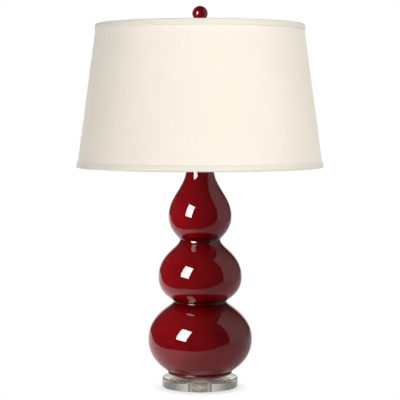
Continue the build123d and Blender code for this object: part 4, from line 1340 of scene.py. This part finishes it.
# ---------------------------------------------------------------- threads
@dataclass
class ScrewThread:
    """A helical thread round the lamp's axis, cut square at both ends."""

    root: float
    crest: float
    pitch: float
    bottom: float
    top: float
    steps: int = 24
    rounded: bool = False
    round_steps: int = 8

    def tooth(self) -> list[Vector]:
        """Draws one tooth.

        Returns:
            The points of its profile, from root to root: a rounded wave or a sharp V.
        """
        low, depth = self.bottom - self.pitch, self.crest - self.root
        if self.rounded:
            shares = [i / self.round_steps for i in range(self.round_steps + 1)]
            rises = [(1 - cos(2 * pi * share)) / 2 for share in shares]
        else:
            shares, rises = [0.0, 0.5, 1.0], [0.0, 1.0, 0.0]
        return [
            Vector((self.root + depth * rise, 0, low + self.pitch * share))
            for share, rise in zip(shares, rises)]

    def skin(self) -> BMesh:
        """Winds the tooth up the axis and cuts it off square at the bottom and the top.

        Returns:
            The thread's open skin.
        """
        mesh = bmesh.new()
        corners = [mesh.verts.new(point) for point in self.tooth()]
        edges = [mesh.edges.new(pair) for pair in zip(corners, corners[1:])]
        turns = int((self.top - self.bottom) / self.pitch) + 3
        bmesh.ops.spin(
            mesh, geom=corners + edges, cent=(0, 0, 0), axis=(0, 0, 1),
            dvec=(0, 0, self.pitch / self.steps), angle=2 * pi * turns, steps=self.steps * turns)
        bmesh.ops.remove_doubles(mesh, verts=mesh.verts, dist=MERGE_DISTANCE * 5)
        bmesh.ops.recalc_face_normals(mesh, faces=mesh.faces)
        for level, way in ((self.bottom, -1.0), (self.top, 1.0)):
            bmesh.ops.bisect_plane(
                mesh, geom=mesh.verts[:] + mesh.edges[:] + mesh.faces[:], dist=1e-7,
                plane_co=(0, 0, level), plane_no=(0, 0, way), clear_outer=True)
        return mesh

    def rod(self) -> BMesh:
        """Closes the skin's ends.

        Returns:
            A solid threaded rod.
        """
        mesh = self.skin()
        bmesh.ops.holes_fill(mesh, edges=[e for e in mesh.edges if e.is_boundary], sides=0)
        bmesh.ops.recalc_face_normals(mesh, faces=mesh.faces)
        return mesh

    def sleeve(self, thickness: float) -> BMesh:
        """Gives the skin a thickness.

        Args:
            thickness: the sheet that the sleeve is pressed from.

        Returns:
            A sleeve whose thread shows inside and outside.
        """
        mesh = self.skin()
        bmesh.ops.solidify(mesh, geom=mesh.faces[:], thickness=thickness)
        return mesh


# ---------------------------------------------------------------- neck, socket and switch
@dataclass
class NeckHardware:
    """The pipe, the cap on the neck, its nut and the harp's saddle."""

    pipe_radius: float = 0.00495
    pipe_bore: float = 0.0032
    thread_pitch: float = 0.00094
    thread_depth: float = 0.00045
    thread_length: float = 0.019
    thread_sink: float = 0.00002
    thread_lead: float = 0.0003

    def build(self) -> None:
        """Makes the pipe with a thread at each end."""
        low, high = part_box("lamp_pipe")
        root = self.pipe_radius - self.thread_depth
        lower, upper = low.z + self.thread_length, high.z - self.thread_length
        outline = Outline(
            (self.pipe_bore, low.z), (root, low.z), (root, lower), (self.pipe_radius, lower),
            (self.pipe_radius, upper), (root, upper), (root, high.z), (self.pipe_bore, high.z))
        mesh = turned(outline, 48)
        for bottom in (low.z, upper):
            thread = ScrewThread(
                root - self.thread_sink, self.pipe_radius, self.thread_pitch, bottom + self.thread_lead,
                bottom + self.thread_length - self.thread_lead)
            join_into(mesh, thread.skin())
        self.pipe = piece_from(mesh, "threaded_pipe")

    def dress(self) -> None:
        """Finishes the pipe and the pieces round it."""
        seat(self.pipe, Finishes.STEEL, "base", "lamp_pipe")
        carry_over(Finishes.BRASS, "neck_cap", "neck_lock_nut")
        carry_over(Finishes.WIRE_BRASS, "harp_saddle")


@dataclass
class LampSocket:
    """The socket's shells, its core, contacts, switch and knob."""

    thread_pitch: float = 0.00363
    thread_depth: float = 0.0009
    sheet: float = 0.0004

    def build(self) -> None:
        """Makes the threaded sleeve that the bulb screws into."""
        low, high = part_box("socket_screw_shell")
        crest = high.x - self.sheet
        thread = ScrewThread(
            crest - self.thread_depth, crest, self.thread_pitch, low.z, high.z, steps=48, rounded=True)
        self.screw_shell = piece_from(thread.sleeve(self.sheet), "threaded_screw_shell")

    def dress(self) -> None:
        """Finishes the socket and its switch."""
        seat(self.screw_shell, Finishes.ALUMINIUM, "base", "socket_screw_shell")
        carry_over(Finishes.SHELL_BRASS, "socket_cap", "socket_shell")
        carry_over(Finishes.STEEL, "socket_set_screw")
        carry_over(Finishes.CARD, "socket_insulator")
        carry_over(Finishes.CORE_PLASTIC, "socket_interior")
        carry_over(Finishes.WIRE_BRASS, "socket_contact", "terminal_screws", "switch_shaft")
        carry_over(Finishes.KNOB_PLASTIC, "switch_knob")


# ---------------------------------------------------------------- bulb
@dataclass
class LightBulb:
    """The bulb: glass, threaded base, insulator and tip."""

    thread_pitch: float = 0.00363
    thread_depth: float = 0.0009
    collar_height: float = 0.0045
    collar_lap: float = 0.0003
    collar_round: float = 0.001
    rim_round: float = 0.0005
    shoulder_height: float = 0.003
    shoulder_radius: float = 0.0076
    shoulder_lap: float = 0.0004

    def build(self) -> None:
        """Makes the threaded base with its collar and its coned-in bottom."""
        low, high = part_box("bulb_base")
        radius, root = high.x, high.x - self.thread_depth
        shoulder = low.z + self.shoulder_height
        collar = high.z - self.collar_height
        mesh = ScrewThread(
            root, radius, self.thread_pitch, shoulder, collar, steps=48, rounded=True).rod()
        bottom = Outline((0.0, low.z), (self.shoulder_radius, low.z))
        bottom.quarter(root, shoulder + self.shoulder_lap, upright_first=False, steps=6)
        bottom.line((0.0, shoulder + self.shoulder_lap))
        join_into(mesh, turned(bottom, 64, closed=False))
        top = Outline((0.0, collar - self.collar_lap), (root, collar - self.collar_lap))
        top.quarter(radius, collar + self.collar_round, upright_first=True)
        top.line((radius, high.z - self.rim_round))
        top.quarter(radius - self.rim_round, high.z, upright_first=True)
        top.line((0.0, high.z))
        join_into(mesh, turned(top, 64, closed=False))
        self.base = piece_from(mesh, "threaded_bulb_base")

    def dress(self) -> None:
        """Finishes the bulb."""
        seat(self.base, Finishes.ALUMINIUM, "bulb", "bulb_base")
        carry_over(Finishes.STEEL, "bulb_contact")
        carry_over(Finishes.INSULATOR_GLASS, "bulb_insulator")
        carry_over(Finishes.BULB_GLASS, "bulb_glass")


# ---------------------------------------------------------------- harp
@dataclass
class Harp:
    """The wire bow that carries the shade, its ferrules and its stud."""

    stud_radius: float = 0.0031
    stud_pitch: float = 0.00094
    thread_depth: float = 0.0004
    thread_sink: float = 0.0002
    collar_radius: float = 0.007
    collar_thickness: float = 0.0018
    collar_crown: float = 0.0001
    rivet_radius: float = 0.0038
    rivet_flat_radius: float = 0.00228
    rivet_thickness: float = 0.0012
    shank_radius: float = 0.0024
    eye_thickness: float = 0.0042
    edge_round: float = 0.00025
    edge_angle: float = radians(50)

    def build(self) -> None:
        """Makes the stud with its thread, collar and rivet head."""
        low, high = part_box("harp_stud")
        root = self.stud_radius - self.thread_depth
        eye_bottom = low.z + self.rivet_thickness
        eye_top = eye_bottom + self.eye_thickness
        collar_top = eye_top + self.collar_thickness
        outline = Outline((0.0, low.z), (self.rivet_flat_radius, low.z))
        outline.quarter(self.rivet_radius, eye_bottom, upright_first=False)
        outline.line(
            (self.shank_radius, eye_bottom), (self.shank_radius, eye_top),
            (self.collar_radius, eye_top), (self.collar_radius, collar_top), (root, collar_top),
            (0.0, collar_top + self.collar_crown))
        mesh = turned(outline, 48, closed=False)
        soften(mesh, self.edge_round, self.edge_angle)
        thread = ScrewThread(
            root, self.stud_radius, self.stud_pitch, collar_top - self.thread_sink, high.z)
        join_into(mesh, thread.rod())
        self.stud = piece_from(mesh, "threaded_stud")

    def dress(self) -> None:
        """Finishes the harp."""
        seat(self.stud, Finishes.BRASS, "harp", "harp_stud")
        carry_over(Finishes.WIRE_BRASS, "harp_wire", "harp_ferrule_left", "harp_ferrule_right")


# ---------------------------------------------------------------- shade
@dataclass
class DrumShade:
    """The shade: cloth on a stiff lining, folded trims, two rings and the spider."""

    cloth_thickness: float = 0.0007
    lining_gap: float = 0.00075
    lining_thickness: float = 0.0007
    trim_thickness: float = 0.0011
    trim_outer_width: float = 0.012
    trim_inner_width: float = 0.0046
    trim_gap: float = 0.00005
    trim_end_flat: float = 0.55
    trim_end_round: float = 0.0012
    lap_width: float = 0.012
    lap_rise: float = 0.0006
    segments: int = 240
    rows: int = 24

    def __post_init__(self) -> None:
        """Reads the cloth's cone and the trims' reach from the frame."""
        low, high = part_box("shade_cover")
        self.bottom, self.top = low.z, high.z
        self.bottom_radius = high.x
        trim_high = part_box("shade_top_trim")[1]
        self.rim_top, self.top_reach = trim_high.z, trim_high.x
        base_low, base_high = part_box("shade_bottom_trim")
        self.rim_bottom, self.bottom_reach = base_low.z, base_high.x
        self.taper = self.read_taper()
        self.cone_share = self.taper / sqrt(1.0 + self.taper ** 2)
        self.strip_widths: dict[str, float] = {}

    def read_taper(self) -> float:
        """Measures the cloth's cone.

        Returns:
            How much the cloth's radius shrinks for each metre of height.
        """
        cloth = frame["nodes"]["shade_cover"].data
        top = max(hypot(v.co.x, v.co.y) for v in cloth.vertices if v.co.z > self.top - 1e-5)
        return (self.bottom_radius - top) / (self.top - self.bottom)

    def radius_at(self, height: float) -> float:
        """Returns the cloth's outside radius at a height."""
        return self.bottom_radius - self.taper * (height - self.bottom)

    def build(self) -> None:
        """Makes the cloth, the lining and the trims."""
        cloth = self.wall(0.0, self.cloth_thickness)
        self.raise_lap(cloth)
        self.cover = piece_from(cloth, "shade_cloth")
        self.map_threads(self.cover.data, self.on_flat_cone)
        self.lining = piece_from(self.wall(self.lining_gap, self.lining_thickness), "shade_hardback")
        self.top_trim = self.folded_trim("top_trim", self.rim_top, self.top_reach, -1.0)
        self.bottom_trim = self.folded_trim("bottom_trim", self.rim_bottom, self.bottom_reach, 1.0)

    def wall(self, inset: float, thickness: float) -> BMesh:
        """Makes one layer of the shade's wall.

        Args:
            inset: how far its outside lies inside the cloth's outside.
            thickness: how thick it is.

        Returns:
            The layer's mesh, in place.
        """
        rise = self.top - self.bottom
        heights = [self.bottom + rise * row / self.rows for row in range(self.rows + 1)]
        outline = Outline(*((self.radius_at(height) - inset, height) for height in heights))
        outline.line(
            *((self.radius_at(height) - inset - thickness, height) for height in reversed(heights)))
        return turned(outline, self.segments)

    def raise_lap(self, cloth: BMesh) -> None:
        """Raises the strip at the back where the cloth's end is glued over its start.

        Args:
            cloth: the cloth's mesh.
        """
        lap = [face for face in cloth.faces if self.on_lap(face)]
        raised = bmesh.ops.extrude_face_region(cloth, geom=lap)["geom"]
        corners = [part for part in raised if isinstance(part, BMVert)]
        bmesh.ops.delete(cloth, geom=lap, context="FACES")
        bmesh.ops.translate(cloth, verts=corners, vec=(0.0, self.lap_rise, 0.0))
        bmesh.ops.recalc_face_normals(cloth, faces=cloth.faces)

    def on_lap(self, face: BMFace) -> bool:
        """Tells the lap's faces from the cloth's others.

        Args:
            face: a face of the cloth.

        Returns:
            Whether it lies on the outside and within the lap.
        """
        middle = face.calc_center_median()
        outside = face.normal.xy.dot(middle.xy) > 0.5 * middle.xy.length
        return outside and middle.y > 0.0 and abs(middle.x) < self.lap_width / 2

    def folded_trim(self, name: str, edge: float, reach: float, inwards: float) -> Object:
        """Makes a trim strip folded over an edge of the shade.

        Args:
            name: the piece's name.
            edge: height of the trim's outer end face.
            reach: the trim's largest radius.
            inwards: -1 where the strip runs down from the edge, 1 where it runs up.

        Returns:
            The trim, in place.
        """
        thick, gap = self.trim_thickness, self.trim_gap
        end = edge + inwards * self.trim_outer_width
        at_end = self.radius_at(end)
        outer = reach - max(self.radius_at(edge), at_end)
        inner = self.inner_reach("shade_" + name)
        fold = edge + inwards * outer
        at_fold = self.radius_at(fold)
        inner_end = edge + inwards * (self.trim_inner_width + outer)
        at_inner_end = self.radius_at(inner_end)
        outline = Outline(
            (at_end + gap, end), (at_end + self.trim_end_flat * thick, end - inwards * gap))
        outline.quarter(
            at_end + outer, end - inwards * self.trim_end_round, upright_first=False, steps=5)
        outline.line((at_fold + outer, fold))
        outline.quarter(
            self.radius_at(edge) + (outer - inner) / 2, edge, upright_first=True, steps=8)
        outline.quarter(at_fold - inner, fold, upright_first=False, steps=8)
        outline.line((at_inner_end - inner, inner_end))
        # The strip's own length runs along its middle, half a thickness inside the fold.
        self.strip_widths[name] = outline.length() - thick * (0.5 + pi / 2)
        outline.line(
            (at_inner_end - inner + thick, inner_end), (at_fold - inner + thick, fold),
            (at_fold + gap, fold))
        trim = piece_from(turned(outline, self.segments), name)
        rim = self.radius_at(edge)
        self.map_threads(
            trim.data, lambda turn, radius, height: (turn * rim, height - edge + radius - rim))
        return trim

    def inner_reach(self, node: str) -> float:
        """Returns how far a trim's inner leg lies inside the cloth's outside, from its CAD node."""
        corners = frame["nodes"][node].data.vertices
        return max(self.radius_at(v.co.z) - hypot(v.co.x, v.co.y) for v in corners)

    def map_threads(self, data: Mesh, flat: Callable[[float, float, float], Point]) -> None:
        """Maps a piece as it lay before it was bent round, in metres.

        Args:
            data: the piece's mesh.
            flat: gives the flat place of a turn, in radians, a radius and a height.
        """
        layer = data.uv_layers.new(name=THREAD_MAP)
        for face in data.polygons:
            corners = [data.vertices[i].co for i in face.vertices]
            turns = [atan2(corner.x, -corner.y) for corner in corners]
            over_seam = max(turns) - min(turns) > pi
            for loop, corner, turn in zip(face.loop_indices, corners, turns):
                unrolled = turn + 2 * pi if over_seam and turn < 0 else turn
                layer.data[loop].uv = flat(unrolled, hypot(corner.x, corner.y), corner.z)

    def on_flat_cone(self, turn: float, radius: float, height: float) -> Point:
        """Returns a place on the cloth as it was cut, where height makes no difference."""
        reach, angle = radius / self.cone_share, turn * self.cone_share
        return reach * sin(angle), reach * cos(angle)

    def flat_cloth(self) -> tuple[Point, float]:
        """Lays the cloth out flat.

        Returns:
            The width and length of the rectangle that it is cut from, and its own area.
        """
        outer, inner = self.bottom_radius / self.cone_share, self.radius_at(self.top) / self.cone_share
        half = pi * self.cone_share
        area = half * (outer ** 2 - inner ** 2)
        return (2 * outer * sin(half), outer - inner * cos(half)), area

    def dress(self) -> None:
        """Finishes the shade and works out how large its cloth and trims lie flat."""
        seat(self.cover, Finishes.SHADE_CLOTH, "shade", "shade_cover")
        seat(self.lining, Finishes.LINING, "shade", "shade_lining")
        seat(self.top_trim, Finishes.TRIM_CLOTH, "shade", "shade_top_trim")
        seat(self.bottom_trim, Finishes.TRIM_CLOTH, "shade", "shade_bottom_trim")
        flat, area = self.flat_cloth()
        for trim, edge in ((self.top_trim, self.rim_top), (self.bottom_trim, self.rim_bottom)):
            flat = (self.strip_widths[trim.name], 2 * pi * self.radius_at(edge))
        carry_over(Finishes.RING_WIRE, "shade_top_ring", "shade_bottom_ring")
        carry_over(Finishes.BRASS, "spider_hub")
        carry_over(Finishes.WIRE_BRASS, *(f"spider_arm_{i}" for i in (1, 2, 3)))


# ---------------------------------------------------------------- finial
@dataclass
class Finial:
    """The washer, the turned base and the glazed ball on top."""

    inner_flat: float = 0.9
    segments: int = 96
    rings: int = 56

    def build(self) -> None:
        """Turns the ball from a half round with its flat at the bottom."""
        low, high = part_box("finial_ball")
        radius = high.x
        centre = high.z - radius
        flat_radius = sqrt(radius ** 2 - (centre - low.z) ** 2)
        start = acos((centre - low.z) / radius)
        turns = [start + (pi - start) * ring / self.rings for ring in range(self.rings + 1)]
        outline = Outline((0.0, low.z), (flat_radius * self.inner_flat, low.z))
        outline.line(*((radius * sin(turn), centre - radius * cos(turn)) for turn in turns))
        self.ball = piece_from(turned(outline, self.segments, closed=False), "glazed_ball")

    def dress(self) -> None:
        """Finishes the finial."""
        seat(self.ball, Finishes.BALL_GLAZE, "finial", "finial_ball")
        carry_over(Finishes.BRASS, "finial_washer", "finial_base")


def main() -> None:
    """Builds the studio and the lamp's sub-assemblies in order."""
    logging.basicConfig(level=logging.INFO, format="%(name)s: %(message)s")
    studio, shade = Studio(), DrumShade()
    studio.build()
    for part in (
        ClearBase(), GlazedGourd(), NeckHardware(), LampSocket(), LightBulb(), Harp(), shade, Finial(),
    ):
        part.build()
        part.dress()
    studio.add_lamps([shade.cover, shade.top_trim, shade.bottom_trim])
    studio.keep_out_of_mirrors([shade.cover, shade.lining, shade.top_trim, shade.bottom_trim])


if __name__ == "__main__":
    main()
